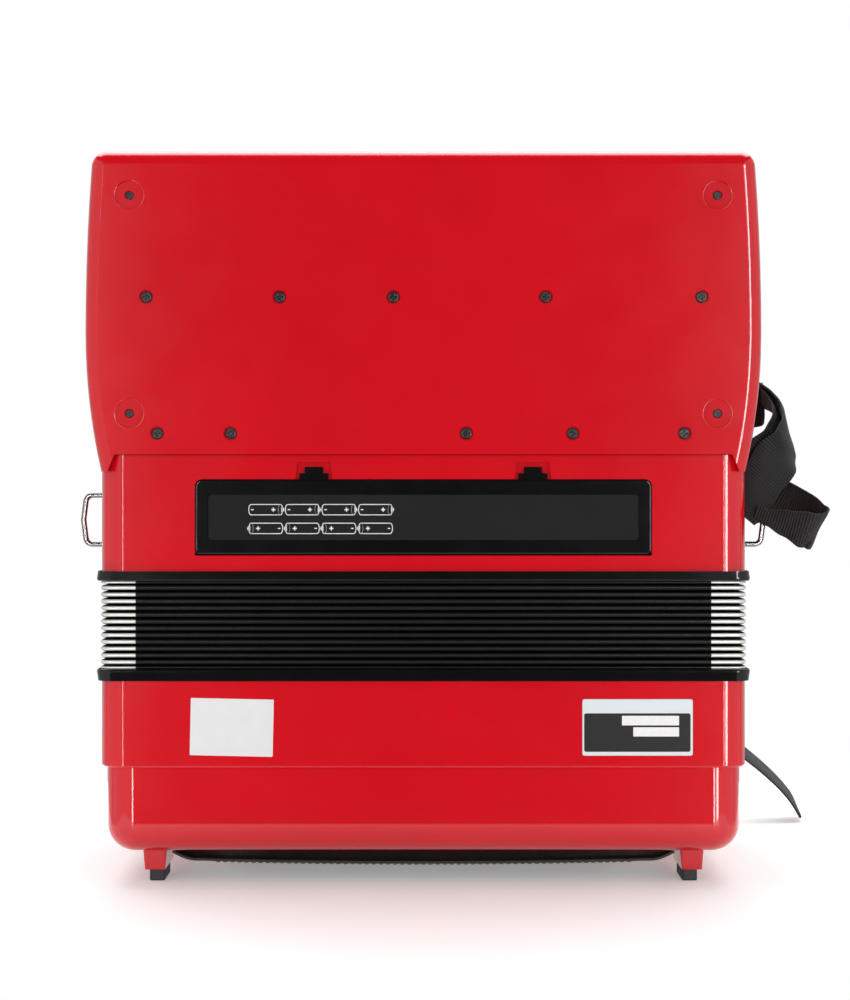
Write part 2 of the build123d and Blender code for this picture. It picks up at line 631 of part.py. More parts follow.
BED_Y = CASE_BACK_Y + CASE_WALL + SEAM
BED_TOP_Z = CASE_TOP_Z - BED_MARGIN
EAR_X = POCKET_W / 2 - SEAM - EAR_T / 2
with BuildPart() as key_bed:
    with BuildSketch(Plane.XZ.offset(-BED_Y)):
        with Locations((0, (CASE_Z + 1 + BED_TOP_Z) / 2)):
            Rectangle(POCKET_W - 2 * SEAM, BED_TOP_Z - CASE_Z - 1)
    extrude(amount=-BED_T)
    # ears that carry the axle at both ends
    for side in (-1, 1):
        with BuildSketch(Plane.YZ.offset(side * EAR_X - EAR_T / 2)):
            with Locations(((BED_Y + AXLE_Y) / 2, AXLE_Z)):
                Rectangle(AXLE_Y - BED_Y, 2 * EAR_R)
            with Locations((AXLE_Y, AXLE_Z)):
                Circle(EAR_R)
                Circle(AXLE_R + RUN, mode=Mode.SUBTRACT)
        extrude(amount=EAR_T)
    # rail that the key tails rest on, and rail that stops the pressed keys
    rest_y = KEY_LOW_Y - GAP
    with BuildSketch(Plane.XY.offset(AXLE_Z - TAIL_L)):
        with Locations((0, (BED_Y + rest_y) / 2)):
            Rectangle(WHITE_COUNT * KEY_PITCH, rest_y - BED_Y)
    extrude(amount=RAIL_H)
    rail_z = BED_TOP_Z - RAIL_H
    stop_y = KEY_LOW_Y - (BED_TOP_Z - AXLE_Z) * sin(radians(SWING)) - GAP
    with BuildSketch(Plane.XY.offset(rail_z)):
        with Locations((0, (BED_Y + stop_y) / 2)):
            Rectangle(WHITE_COUNT * KEY_PITCH, stop_y - BED_Y)
    extrude(amount=RAIL_H)
    with BuildSketch(Plane.XZ.offset(-BED_Y)):
        with Locations(*screw_places):
            Circle(SCREW_R + RUN)
    extrude(amount=-BED_T, mode=Mode.SUBTRACT)
save(key_bed.part, "key_bed")

with BuildPart() as key_axle:
    with BuildSketch(Plane.YZ.offset(-EAR_X - EAR_T / 2)):
        with Locations((AXLE_Y, AXLE_Z)):
            Circle(AXLE_R)
    extrude(amount=2 * EAR_X + EAR_T)
save(key_axle.part, "key_axle")


seat_plane = Plane.XZ.offset(-(CASE_BACK_Y + DISH_DEEP + HEAD_H))
with BuildPart() as case_screws:
    with BuildSketch(seat_plane):
        with Locations(*flat_places):
            Circle(HEAD_R)
        with Locations(*dish_places):
            Circle(CORNER_HEAD_R)
    extrude(amount=HEAD_H)
    with BuildSketch(seat_plane):
        with Locations(*screw_places):
            Circle(SCREW_R)
    extrude(amount=-SCREW_L)
save(case_screws.part, "case_screws")


# ==================================================================== keys
NOTES = ("c", "c_sharp", "d", "d_sharp", "e", "f", "f_sharp", "g", "g_sharp", "a", "a_sharp", "b")


def axle_bore():
    """The axle's running bore, through the whole row of keys."""
    with BuildPart() as bore:
        with BuildSketch(Plane.YZ.offset(-BODY_W / 2)):
            with Locations((AXLE_Y, AXLE_Z)):
                Circle(AXLE_R + RUN)
        extrude(amount=BODY_W)
    return bore.part


def white_key(head_left, tail_left, tail_right):
    """A white key: a full-width head and a tail between the black keys."""
    head_z = KEY_END_Z - KEY_HEAD_L
    with BuildPart() as key:
        with BuildSketch(Plane.XZ.offset(-KEY_TOP_Y)):
            with Locations((head_left + KEY_PITCH / 2, (head_z + KEY_END_Z) / 2)):
                Rectangle(KEY_PITCH - KEY_SPACE, KEY_HEAD_L)
            with Locations(((tail_left + tail_right) / 2, (AXLE_Z - TAIL_L + head_z) / 2)):
                Rectangle(tail_right - tail_left - KEY_SPACE, head_z - AXLE_Z + TAIL_L)
        extrude(amount=KEY_T)
        add(axle_bore(), mode=Mode.SUBTRACT)
        fillet(key.edges().filter_by(Axis.Y).group_by(Axis.Z)[-1], 1.2)
        fillet(key.faces().sort_by(Axis.Y)[-1].edges().filter_by(Axis.Z), 0.6)
    return key.part


def black_key(left, right):
    """A black key: a stem as deep as the white keys' and a raised, sloped cap."""
    cap_y = KEY_TOP_Y + BLACK_RISE
    with BuildPart() as key:
        with BuildSketch(Plane.YZ.offset(left + KEY_SPACE / 2)):
            with BuildLine():
                Polyline((KEY_LOW_Y, AXLE_Z - TAIL_L), (KEY_LOW_Y, BLACK_END_Z),
                         (KEY_TOP_Y, BLACK_END_Z), (cap_y, BLACK_END_Z - 7),
                         (cap_y, BLACK_END_Z - BLACK_L), (KEY_TOP_Y, BLACK_END_Z - BLACK_L),
                         (KEY_TOP_Y, AXLE_Z - TAIL_L), (KEY_LOW_Y, AXLE_Z - TAIL_L))
            make_face()
        extrude(amount=right - left - KEY_SPACE)
        add(axle_bore(), mode=Mode.SUBTRACT)
        fillet(key.faces().sort_by(Axis.Y)[-1].edges(), 1.4)
    return key.part


def build_keys():
    """The 26 keys from B to C, each by name, with its part."""
    made = {"key_b3": white_key(KEYS_LEFT, KEYS_LEFT, KEYS_LEFT + KEY_PITCH)}
    left = KEYS_LEFT + KEY_PITCH
    for octave in (4, 5):
        for first, whites in ((0, 3), (5, 4)):
            slots = 2 * whites - 1
            slot = whites * KEY_PITCH / slots
            for i in range(slots):
                name = f"key_{NOTES[first + i]}{octave}"
                if i % 2:
                    made[name] = black_key(left + i * slot, left + (i + 1) * slot)
                else:
                    head = left + i // 2 * KEY_PITCH
                    made[name] = white_key(head, left + i * slot, left + (i + 1) * slot)
            left += whites * KEY_PITCH
    made["key_c6"] = white_key(left, left, left + KEY_PITCH)
    return made


for key_name, key_part in build_keys().items():
    save(key_part, key_name)


# ==================================================================== bellows and frames
def bellows_frame(z, height, upward):
    """A ring with a sloped outer edge, widest towards the bellows."""
    wide_z = z + height if upward else z
    with BuildPart() as ring:
        with BuildSketch(Plane.XY.offset(wide_z)):
            RectangleRounded(FRAME_W, FRAME_D, FRAME_R)
        extrude(amount=-height if upward else height, taper=8)
        fillet(ring.faces().sort_by(Axis.Z)[-1 if upward else 0].edges(), 1.4)
        with BuildSketch(Plane.XY.offset(z)):
            RectangleRounded(FRAME_W - 2 * FRAME_BORDER, FRAME_D - 2 * FRAME_BORDER, 4)
        extrude(amount=height, mode=Mode.SUBTRACT)
    return ring.part


save(bellows_frame(LOWER_FRAME_Z, LOWER_FRAME_H, True), "lower_bellows_frame")
save(bellows_frame(UPPER_FRAME_Z, UPPER_FRAME_H, False), "upper_bellows_frame")

with BuildPart() as bellows:
    with BuildSketch(Plane.XY.offset(BELLOWS_Z)):
        RectangleRounded(BELLOWS_W - 2 * FOLD_DEPTH, BELLOWS_D - 2 * FOLD_DEPTH, BELLOWS_R)
    extrude(amount=FOLDS * FOLD_PITCH)
    for i in range(FOLDS + 1):
        low = max(BELLOWS_Z, BELLOWS_Z + i * FOLD_PITCH - RIDGE_T / 2)
        high = min(UPPER_FRAME_Z, BELLOWS_Z + i * FOLD_PITCH + RIDGE_T / 2)
        with BuildSketch(Plane.XY.offset(low)):
            RectangleRounded(BELLOWS_W, BELLOWS_D, BELLOWS_R)
        extrude(amount=high - low)
    with BuildSketch(Plane.XY.offset(BELLOWS_Z)):
        RectangleRounded(BELLOWS_W - 2 * BELLOWS_WALL, BELLOWS_D - 2 * BELLOWS_WALL, BELLOWS_R)
    extrude(amount=FOLDS * FOLD_PITCH, mode=Mode.SUBTRACT)
save(bellows.part, "bellows")

with BuildPart() as bellows_corners:
    for i in range(FOLDS + 1):
        low = max(BELLOWS_Z, BELLOWS_Z + i * FOLD_PITCH - RIDGE_T / 2)
        high = min(UPPER_FRAME_Z, BELLOWS_Z + i * FOLD_PITCH + RIDGE_T / 2)
        with BuildSketch(Plane.XY.offset(low)):
            RectangleRounded(BELLOWS_W + 2 * CAP_T, BELLOWS_D + 2 * CAP_T, BELLOWS_R + CAP_T)
            RectangleRounded(BELLOWS_W, BELLOWS_D, BELLOWS_R, mode=Mode.SUBTRACT)
            with GridLocations(BELLOWS_W, BELLOWS_D, 2, 2):
                Rectangle(2 * CAP_L, 2 * CAP_L, mode=Mode.INTERSECT)
        extrude(amount=high - low)
save(bellows_corners.part, "bellows_corners")


# ==================================================================== bass end
with BuildPart() as bass_case:
    with BuildSketch(Plane.XY.offset(BASS_Z)):
        RectangleRounded(BODY_W, BODY_D, CORNER_R)
    extrude(amount=BASS_H)
    with BuildSketch(Plane.XY.offset(BASS_Z + WALL)):
        RectangleRounded(BODY_W - 2 * WALL, BODY_D - 2 * WALL, CORNER_R - WALL)
    extrude(amount=BASS_H - 2 * WALL, mode=Mode.SUBTRACT)
    with BuildSketch(Plane.XY.offset(BASS_Z)):
        RectangleRounded(COVER_W - 2 * RIM, COVER_D - 2 * RIM, CORNER_R)
    extrude(amount=WALL, mode=Mode.SUBTRACT)
    fillet(bass_case.faces().sort_by(Axis.Z)[0].outer_wire().edges(), 1.2)
save(bass_case.part, "bass_case")


def cover_form(inset):
    """Outer form of the bass cover, drawn in by inset on every side but its open top."""
    with BuildPart() as form:
        with BuildSketch(Plane.XY.offset(COVER_Z + inset)):
            RectangleRounded(COVER_W - 2 * inset, COVER_D - 2 * inset, COVER_R - inset)
        extrude(amount=COVER_H - inset)
        fillet(form.faces().sort_by(Axis.Z)[0].edges(), COVER_EDGE_R - inset)
    return form.part


with BuildPart() as bass_cover:
    add(cover_form(0))
    add(cover_form(WALL), mode=Mode.SUBTRACT)
    with BuildSketch(Plane.XY.offset(COVER_Z)):
        with Locations((0, BOARD_Y)):
            RectangleRounded(BOARD_W, BOARD_D, 5)
        with Locations((AIR_X, AIR_Y)):
            Circle(AIR_R + GAP)
    extrude(amount=WALL, mode=Mode.SUBTRACT)
    with BuildSketch(Plane.XY.offset(COVER_Z + WALL / 2)):
        with GridLocations(2 * FOOT_X, 2 * FOOT_Y, 2, 2):
            RectangleRounded(FOOT_W, FOOT_D, 2)
    extrude(amount=-(FOOT_H + WALL / 2), taper=FOOT_DRAFT)
save(bass_cover.part, "bass_cover")

with BuildPart() as rubber_feet:
    with BuildSketch(Plane.XY):
        with GridLocations(2 * (FOOT_X - PAD_IN), 2 * PAD_Y, 2, 2):
            RectangleRounded(PAD_W, PAD_D, 1.5)
    extrude(amount=PAD_H)
    fillet(rubber_feet.faces().group_by(Axis.Z)[0].edges(), 0.8)
save(rubber_feet.part, "rubber_feet")


def button_places(row):
    """Centres of the bass buttons in one slanted row."""
    y = BOARD_Y + (row - (BUTTON_ROWS - 1) / 2) * BUTTON_ROW_PITCH
    shift = (row - (BUTTON_ROWS - 1) / 2) * BUTTON_SLANT
    return [(shift + (i - (BUTTONS - 1) / 2) * BUTTON_PITCH, y) for i in range(BUTTONS)]


with BuildPart() as bass_button_board:
    with BuildSketch(Plane.XY.offset(COVER_Z)):
        with Locations((0, BOARD_Y)):
            RectangleRounded(BOARD_W - 2 * SEAM, BOARD_D - 2 * SEAM, 5)
    extrude(amount=WALL + SEAM)
    with BuildSketch(Plane.XY.offset(COVER_Z + WALL + SEAM)):
        with Locations((0, BOARD_Y)):
            RectangleRounded(BOARD_W + 2 * BOARD_LIP, BOARD_D + 2 * BOARD_LIP, 6)
    extrude(amount=1.6)
    with BuildSketch(Plane.XY.offset(COVER_Z)):
        for row in range(BUTTON_ROWS):
            with Locations(*button_places(row)):
                Circle(BUTTON_R + GAP)
    extrude(amount=WALL + SEAM + 1.6, mode=Mode.SUBTRACT)
save(bass_button_board.part, "bass_button_board")

BUTTON_SEAT_Z = COVER_Z + WALL + SEAM + 1.6 + GAP
for row in range(BUTTON_ROWS):
    with BuildPart() as button_row:
        with BuildSketch(Plane.XY.offset(COVER_Z - BUTTON_OUT)):
            with Locations(*button_places(row)):
                Circle(BUTTON_R)
        extrude(amount=BUTTON_SEAT_Z - COVER_Z + BUTTON_OUT)
        fillet(button_row.faces().group_by(Axis.Z)[0].edges(), 1.2)
        with BuildSketch(Plane.XY.offset(BUTTON_SEAT_Z)):
            with Locations(*button_places(row)):
                Circle(BUTTON_FLANGE_R)
        extrude(amount=BUTTON_FLANGE_T)
    save(button_row.part, f"bass_buttons_row_{row + 1}")

with BuildPart() as air_button:
    with BuildSketch(Plane.XY.offset(COVER_Z - AIR_OUT)):
        with Locations((AIR_X, AIR_Y)):
            Circle(AIR_R)
    extrude(amount=AIR_OUT + WALL + GAP)
    fillet(air_button.faces().sort_by(Axis.Z)[0].edges(), 2.0)
    with BuildSketch(Plane.XY.offset(COVER_Z + WALL + GAP)):
        with Locations((AIR_X, AIR_Y)):
            Circle(AIR_R + 2)
    extrude(amount=2)
save(air_button.part, "air_button")

with BuildPart() as hand_strap:
    with BuildSketch(Plane.XZ.offset(-(HAND_Y - HAND_W / 2))):
        with BuildLine():
            low_end = HAND_HALF - 9
            ThreePointArc((-low_end, HAND_END_LOW), (0, HAND_LOW), (low_end, HAND_END_LOW))
            Polyline((low_end, HAND_END_LOW), (HAND_HALF, COVER_Z - SEAM),
                     (HAND_HALF - 1.6 * HAND_T, COVER_Z - SEAM), (low_end - HAND_T / 2, HAND_END_LOW + HAND_T))
            ThreePointArc((low_end - HAND_T / 2, HAND_END_LOW + HAND_T), (0, HAND_LOW + HAND_T),
                          (-low_end + HAND_T / 2, HAND_END_LOW + HAND_T))
            Polyline((-low_end + HAND_T / 2, HAND_END_LOW + HAND_T), (-HAND_HALF + 1.6 * HAND_T, COVER_Z - SEAM),
                     (-HAND_HALF, COVER_Z - SEAM), (-low_end, HAND_END_LOW))
        make_face()
    extrude(amount=-HAND_W)
save(hand_strap.part, "hand_strap")

with BuildPart() as label_plates:
    with BuildSketch(Plane.XZ.offset(BODY_D / 2)):
        with Locations((RATING_X, BASS_Z + LABEL_H)):
            RectangleRounded(RATING_W, RATING_H, 1.2)
    extrude(amount=RATING_T)
    with BuildSketch(Plane.XZ.offset(BODY_D / 2)):
        with Locations((PAPER_X, BASS_Z + LABEL_H)):
            Rectangle(PAPER_W, PAPER_H, rotation=1)
    extrude(amount=PAPER_T)
save(label_plates.part, "label_plates")


# ==================================================================== strap brackets and straps
def bracket(side):
    """A bent-wire bracket with its base plate, on the end of the treble body at side."""
    face = side * (BODY_W / 2 + SEAM)
    low = TREBLE_Z + BRACKET_LOW
    high = low + BRACKET_H
    bend = side * (BODY_W / 2 + BRACKET_OUT - BRACKET_BOW)
    bow = side * (BODY_W / 2 + BRACKET_OUT)
    points = [(face, BRACKET_Y, low), (bend, BRACKET_Y, low), (bow, BRACKET_Y, (low + high) / 2),
              (bend, BRACKET_Y, high), (face, BRACKET_Y, high)]
    with BuildPart() as wire:
        with BuildLine():
            FilletPolyline(*points, radius=4)
        with BuildSketch(Plane(origin=points[0], z_dir=(side, 0, 0))):
            Circle(WIRE_R)
        sweep()
        with BuildSketch(Plane(origin=(face, BRACKET_Y, (low + high) / 2), x_dir=(0, 1, 0), z_dir=(side, 0, 0))):
            RectangleRounded(PLATE_W, BRACKET_H + 3 * WIRE_R, 2)
        extrude(amount=PLATE_T)
        with BuildSketch(Plane(origin=(face, BRACKET_Y, (low + high) / 2), x_dir=(0, 1, 0), z_dir=(side, 0, 0))):
            Circle(RIVET_R)
        extrude(amount=PLATE_T + RIVET_H)
    return wire.part


with BuildPart() as strap_brackets:
    add(bracket(-1))
    add(bracket(1))
save(strap_brackets.part, "strap_brackets")


def band(stations, thickness):
    """A flat band through stations, each a point, the way along, the way across and the width there."""
    with BuildPart() as strip:
        for point, along, across, width in stations:
            with BuildSketch(Plane(origin=point, x_dir=across, z_dir=along)):
                Rectangle(width, thickness)
        loft(ruled=True)
    return strip.part


LIFT = GAP + STRAP_T / 2 + 0.5
half_w = BODY_W / 2
front_y = BODY_D / 2
deck_lift = DECK_Z + LIFT
shoulder_a = front_y - SHOULDER_Y + LIFT
shoulder_b = SHOULDER_H + LIFT
shoulder_z = DECK_Z - SHOULDER_H
SHOULDER_STEPS = 9
shoulder_run = []
for step in range(1, SHOULDER_STEPS + 1):
    angle = pi / 2 * (1 - step / SHOULDER_STEPS)
    shoulder_run.append(((STRAP_X, SHOULDER_Y + shoulder_a * cos(angle), shoulder_z + shoulder_b * sin(angle)),
                         (0, shoulder_a * sin(angle), -shoulder_b * cos(angle)), (1, 0, 0), STRAP_W))
# hangs down in front of the grille, twists and ends on the floor beside the bass end
hanging_run = [
    ((STRAP_X + 4, front_y + 8, shoulder_z - 45), (0.10, 0.05, -1), (1, 0.1, 0.1), STRAP_W),
    ((STRAP_X + 15, front_y + 14, shoulder_z - 90), (0.30, 0.10, -1), (1, 0.4, 0.3), STRAP_W),
    ((STRAP_X + 32, front_y + 22, shoulder_z - 126), (0.55, 0.10, -1), (0.8, 1.0, 0.5), STRAP_W),
    ((STRAP_X + 53, front_y + 31, 59), (0.8, 0.05, -0.8), (0.3, 1.0, 0.3), STRAP_W),
    ((half_w + 37, front_y + 35, 45), (0.78, 0.02, -0.62), (0.13, 0.98, 0.18), STRAP_W),
    ((half_w + 53, front_y + 36, 31.5), (0.75, 0, -0.66), (0.13, 0.98, 0.16), STRAP_W),
    ((half_w + 67, front_y + 36.5, 16.5), (0.68, 0, -0.73), (0.13, 0.98, 0.14), STRAP_W),
    ((half_w + 74, front_y + 36.5, 3.6), (0.35, 0, -0.94), (0.1, 0.98, 0.04), STRAP_W),
]
deck_run = [
    ((half_w + 13.4, -28.5, DECK_Z - 11), (-0.5, 0.3, 0.8), (0.35, 0.93, 0.1), STRAP_W),
    ((half_w + 8, -27, DECK_Z + 0.8), (-1, 0.15, 0.5), (0.1, 1, 0), STRAP_W),
    ((half_w - 13, -26, deck_lift + 0.3), (-1, 0.15, 0.02), (0.15, 1, 0), STRAP_W),
    ((STRAP_X + 5, -22, deck_lift + 0.2), (-0.7, 0.7, 0), (0.7, 0.7, 0), STRAP_W),
]
# webbing from the right bracket up to the strap
wire_z = TREBLE_Z + BRACKET_LOW
wire_front = BRACKET_Y - WIRE_R
webbing_run = [
    ((half_w + 6.6, wire_front - 3.6, wire_z + 15.6), (0.45, 0, 0.9), (0.9, 0, -0.45), 12),
    ((half_w + 11, wire_front - 4.2, wire_z + 25.6), (0.5, 0, 0.87), (0.87, 0, -0.5), 20),
    ((half_w + 17, wire_front - 4.6, wire_z + 38.6), (0.45, 0.1, 0.88), (0.87, 0, -0.5), WEBBING_W),
    ((half_w + 24, wire_front - 0.4, wire_z + 56.6), (0.15, 0.3, 0.95), (0.84, 0.25, -0.48), WEBBING_W),
    ((half_w + 20, wire_front + 10.6, wire_z + 69.6), (-0.2, 0.5, 0.85), (0.72, 0.68, -0.1), WEBBING_W),
    ((half_w + 18.4, wire_front + 21.2, wire_z + 78.6), (-0.3, 0.5, 0.8), (0.6, 0.8, 0.1), WEBBING_W),
    deck_run[0],
]
# spare webbing, folded back into a loose loop beside the bracket
loop_tilt = (0.2, -0.69, 0.7)
loop_run = [
    ((half_w + 9.5, wire_front - 4.9, wire_z + 18.6), (1, -0.2, -0.4), (0.5, -0.5, 0.7), 11),
    ((half_w + 27.4, wire_front - 8.4, wire_z + 12.1), (1, -0.3, -0.3), loop_tilt, 20),
    ((half_w + 37.4, wire_front - 11.4, wire_z + 8.4), (1, -0.1, -0.1), loop_tilt, WEBBING_W),
    ((half_w + 44.2, wire_front - 9.4, wire_z + 8.6), (0.8, 0.5, 0.3), loop_tilt, WEBBING_W),
    ((half_w + 46.6, wire_front - 2.4, wire_z + 10.6), (0.1, 0.8, 0.6), loop_tilt, WEBBING_W),
    ((half_w + 43.4, wire_front + 5.6, wire_z + 16.6), (-0.7, 0.5, 0.6), loop_tilt, WEBBING_W),
    ((half_w + 35.4, wire_front + 11.6, wire_z + 22.6), (-0.9, 0.35, 0.5), loop_tilt, WEBBING_W),
    ((half_w + 26.4, wire_front + 13.6, wire_z + 27.6), (-1, 0.1, 0.5), loop_tilt, WEBBING_W),
]
with BuildPart() as shoulder_strap:
    add(band(webbing_run, WEBBING_T))
    add(band(deck_run + shoulder_run + hanging_run, STRAP_T))
    add(band(loop_run, WEBBING_T))
save(shoulder_strap.part, "shoulder_strap")
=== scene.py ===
import bpy
import bmesh
from math import asin, cos, pi, radians, sin
from mathutils import Matrix, Vector

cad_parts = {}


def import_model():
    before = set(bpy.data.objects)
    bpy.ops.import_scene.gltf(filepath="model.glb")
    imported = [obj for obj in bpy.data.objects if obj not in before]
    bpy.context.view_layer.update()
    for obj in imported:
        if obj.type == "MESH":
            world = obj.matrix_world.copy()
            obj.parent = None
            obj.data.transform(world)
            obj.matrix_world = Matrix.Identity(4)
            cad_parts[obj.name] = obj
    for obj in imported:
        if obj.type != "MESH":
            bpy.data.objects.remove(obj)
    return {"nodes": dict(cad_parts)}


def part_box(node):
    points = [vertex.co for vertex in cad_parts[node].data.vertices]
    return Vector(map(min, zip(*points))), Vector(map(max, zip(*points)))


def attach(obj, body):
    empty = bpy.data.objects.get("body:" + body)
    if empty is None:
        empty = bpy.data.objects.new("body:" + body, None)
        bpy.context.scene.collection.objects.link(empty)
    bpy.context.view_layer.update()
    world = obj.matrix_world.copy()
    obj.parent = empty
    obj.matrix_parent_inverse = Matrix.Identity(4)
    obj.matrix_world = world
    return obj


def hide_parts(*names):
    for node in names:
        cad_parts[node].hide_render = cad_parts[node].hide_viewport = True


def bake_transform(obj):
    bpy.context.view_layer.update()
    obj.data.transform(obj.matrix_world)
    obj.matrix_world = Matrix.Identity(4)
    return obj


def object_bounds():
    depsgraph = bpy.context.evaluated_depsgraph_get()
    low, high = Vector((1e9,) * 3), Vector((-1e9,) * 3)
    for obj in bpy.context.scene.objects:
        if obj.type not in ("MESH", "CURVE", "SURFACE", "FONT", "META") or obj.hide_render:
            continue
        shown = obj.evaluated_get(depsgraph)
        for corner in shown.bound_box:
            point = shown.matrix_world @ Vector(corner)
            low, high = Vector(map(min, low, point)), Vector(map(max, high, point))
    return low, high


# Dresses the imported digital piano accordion. Everything is in metres, in the frame of the CAD model:
# +Z up from the feet to the keyboard end, -Y the player's side, +Y the keys and the grille.

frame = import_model()
cad_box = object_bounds()

BASS = "bass_body"
TREBLE = "treble_body"
MM = 0.001


# ==================================================================== material helpers
class Finish:
    """A node material under construction: a Principled shader, with short calls for its parts."""

    def __init__(self, name, colour, roughness, metallic=0.0, coat=0.0, coat_roughness=0.03, sheen=0.0,
                 specular=None):
        self.material = bpy.data.materials.new(name)
        self.material.use_nodes = True
        self.tree = self.material.node_tree
        self.shader = self.tree.nodes["Principled BSDF"]
        self.shader.inputs["Base Color"].default_value = (*colour, 1)
        self.shader.inputs["Roughness"].default_value = roughness
        self.shader.inputs["Metallic"].default_value = metallic
        self.shader.inputs["Coat Weight"].default_value = coat
        self.shader.inputs["Coat Roughness"].default_value = coat_roughness
        self.shader.inputs["Sheen Weight"].default_value = sheen
        if specular is not None:
            self.shader.inputs["Specular IOR Level"].default_value = specular
        self.material.diffuse_color = (*colour, 1)
        self.place = None
        self.bump_out = None

    def node(self, kind, **inputs):
        made = self.tree.nodes.new(kind)
        for key, value in inputs.items():
            made.inputs[key.replace("_", " ")].default_value = value
        return made

    def link(self, source, target):
        self.tree.links.new(source, target)

    def coordinates(self, uv=False, scale=(1, 1, 1)):
        """Object coordinates, or the piece's own UV map, through a Mapping node."""
        source = self.tree.nodes.new("ShaderNodeTexCoord")
        mapping = self.tree.nodes.new("ShaderNodeMapping")
        mapping.inputs["Scale"].default_value = scale
        self.link(source.outputs["UV" if uv else "Object"], mapping.inputs["Vector"])
        return mapping.outputs["Vector"]

    def noise(self, scale, detail=2.0, vector=None):
        made = self.node("ShaderNodeTexNoise", Scale=scale, Detail=detail)
        self.link(vector or self.coordinates(), made.inputs["Vector"])
        return made.outputs["Fac"]

    def ramp(self, value, low, high, colours=None):
        """Maps value from low..high to 0..1, or to a pair of colours."""
        made = self.tree.nodes.new("ShaderNodeValToRGB")
        made.color_ramp.elements[0].position = low
        made.color_ramp.elements[1].position = high
        if colours:
            for element, colour in zip(made.color_ramp.elements, colours):
                element.color = (*colour, 1)
        self.link(value, made.inputs["Fac"])
        return made.outputs["Color"]

    def span(self, value, low, high):
        """Maps 0..1 to low..high as a number."""
        made = self.tree.nodes.new("ShaderNodeMapRange")
        made.inputs["To Min"].default_value = low
        made.inputs["To Max"].default_value = high
        self.link(value, made.inputs["Value"])
        return made.outputs["Result"]

    def roughness(self, value, low, high):
        self.link(self.span(value, low, high), self.shader.inputs["Roughness"])

    def colour(self, output):
        self.link(output, self.shader.inputs["Base Color"])

    def bump(self, height, strength, distance):
        """Adds a bump on top of those made before."""
        made = self.node("ShaderNodeBump", Strength=strength, Distance=distance)
        self.link(height, made.inputs["Height"])
        if self.bump_out:
            self.link(self.bump_out, made.inputs["Normal"])
        self.bump_out = made.outputs["Normal"]
        self.link(self.bump_out, self.shader.inputs["Normal"])
        return self


def variation(finish, colour, amount, scale):
    """A little slow change of shade over the surface."""
    dark = tuple(c * (1 - amount) for c in colour)
    light = tuple(min(1.0, c * (1 + amount)) for c in colour)
    finish.colour(finish.ramp(finish.noise(scale, 3), 0.3, 0.7, (dark, light)))


# ==================================================================== materials
RIBS = 196.0              # turns of the rib pattern in a metre of webbing
YARNS_TO_RIBS = 2.2


def red_lacquer():
    colour = (0.605, 0.0028, 0.0105)
    made = Finish("red_lacquer", colour, 0.16, coat=1.0, coat_roughness=0.02, specular=0.12)
    variation(made, colour, 0.04, 14)
    made.roughness(made.noise(38, 4), 0.12, 0.22)
    made.bump(made.noise(9, 1), 0.08, 0.0012)
    made.bump(made.noise(420, 2), 0.035, 0.0003)
    return made.material


def black_gloss():
    colour = (0.0030, 0.0030, 0.0034)
    made = Finish("black_gloss", colour, 0.14, coat=0.6, coat_roughness=0.04, specular=0.15)
    variation(made, colour, 0.15, 30)
    made.roughness(made.noise(60, 4), 0.10, 0.20)
    made.bump(made.noise(520, 2), 0.04, 0.0002)
    return made.material


def black_grained():
    """Moulded black plastic with a fine spark-eroded grain."""
    colour = (0.016, 0.016, 0.017)
    made = Finish("black_grained", colour, 0.46)
    variation(made, colour, 0.12, 60)
    made.roughness(made.noise(900, 2), 0.40, 0.56)
    made.bump(made.noise(1900, 3), 0.22, 0.0002)
    return made.material


def black_satin():
    colour = (0.013, 0.013, 0.014)
    made = Finish("black_satin", colour, 0.32)
    variation(made, colour, 0.12, 60)
    made.roughness(made.noise(300, 3), 0.27, 0.40)
    made.bump(made.noise(1200, 2), 0.08, 0.0002)
    return made.material


def rubber():
    colour = (0.012, 0.012, 0.012)
    made = Finish("rubber", colour, 0.62)
    variation(made, colour, 0.2, 120)
    made.roughness(made.noise(500, 3), 0.55, 0.75)
    made.bump(made.noise(1500, 2), 0.15, 0.0002)
    return made.material


def chrome():
    made = Finish("chrome", (0.27, 0.262, 0.252), 0.16, metallic=1.0)
    made.roughness(made.noise(260, 4), 0.10, 0.22)
    made.bump(made.noise(700, 2), 0.03, 0.0002)
    return made.material


def cap_metal():
    """Satin bright metal of the bellows corner caps."""
    colour = (0.66, 0.66, 0.625)
    made = Finish("cap_metal", colour, 0.36, metallic=0.35, specular=0.3)
    variation(made, colour, 0.04, 60)
    made.roughness(made.noise(60, 3), 0.30, 0.42)
    made.bump(made.noise(180, 2), 0.02, 0.0002)
    return made.material


def bellows_board():
    """Black coated card of the folds."""
    colour = (0.0045, 0.0045, 0.005)
    made = Finish("bellows_board", colour, 0.50, specular=0.2)
    variation(made, colour, 0.25, 90)
    made.bump(made.noise(1600, 3), 0.25, 0.0003)
    return made.material


def bellows_tape():
    """Black grained tape over the ridges."""
    colour = (0.0042, 0.0042, 0.0046)
    made = Finish("bellows_tape", colour, 0.36, specular=0.15)
    variation(made, colour, 0.2, 70)
    weave = made.coordinates(scale=(1500, 1500, 1500))
    made.roughness(made.noise(1.0, 3, weave), 0.28, 0.48)
    made.bump(made.noise(1.0, 3, weave), 0.20, 0.0003)
    return made.material


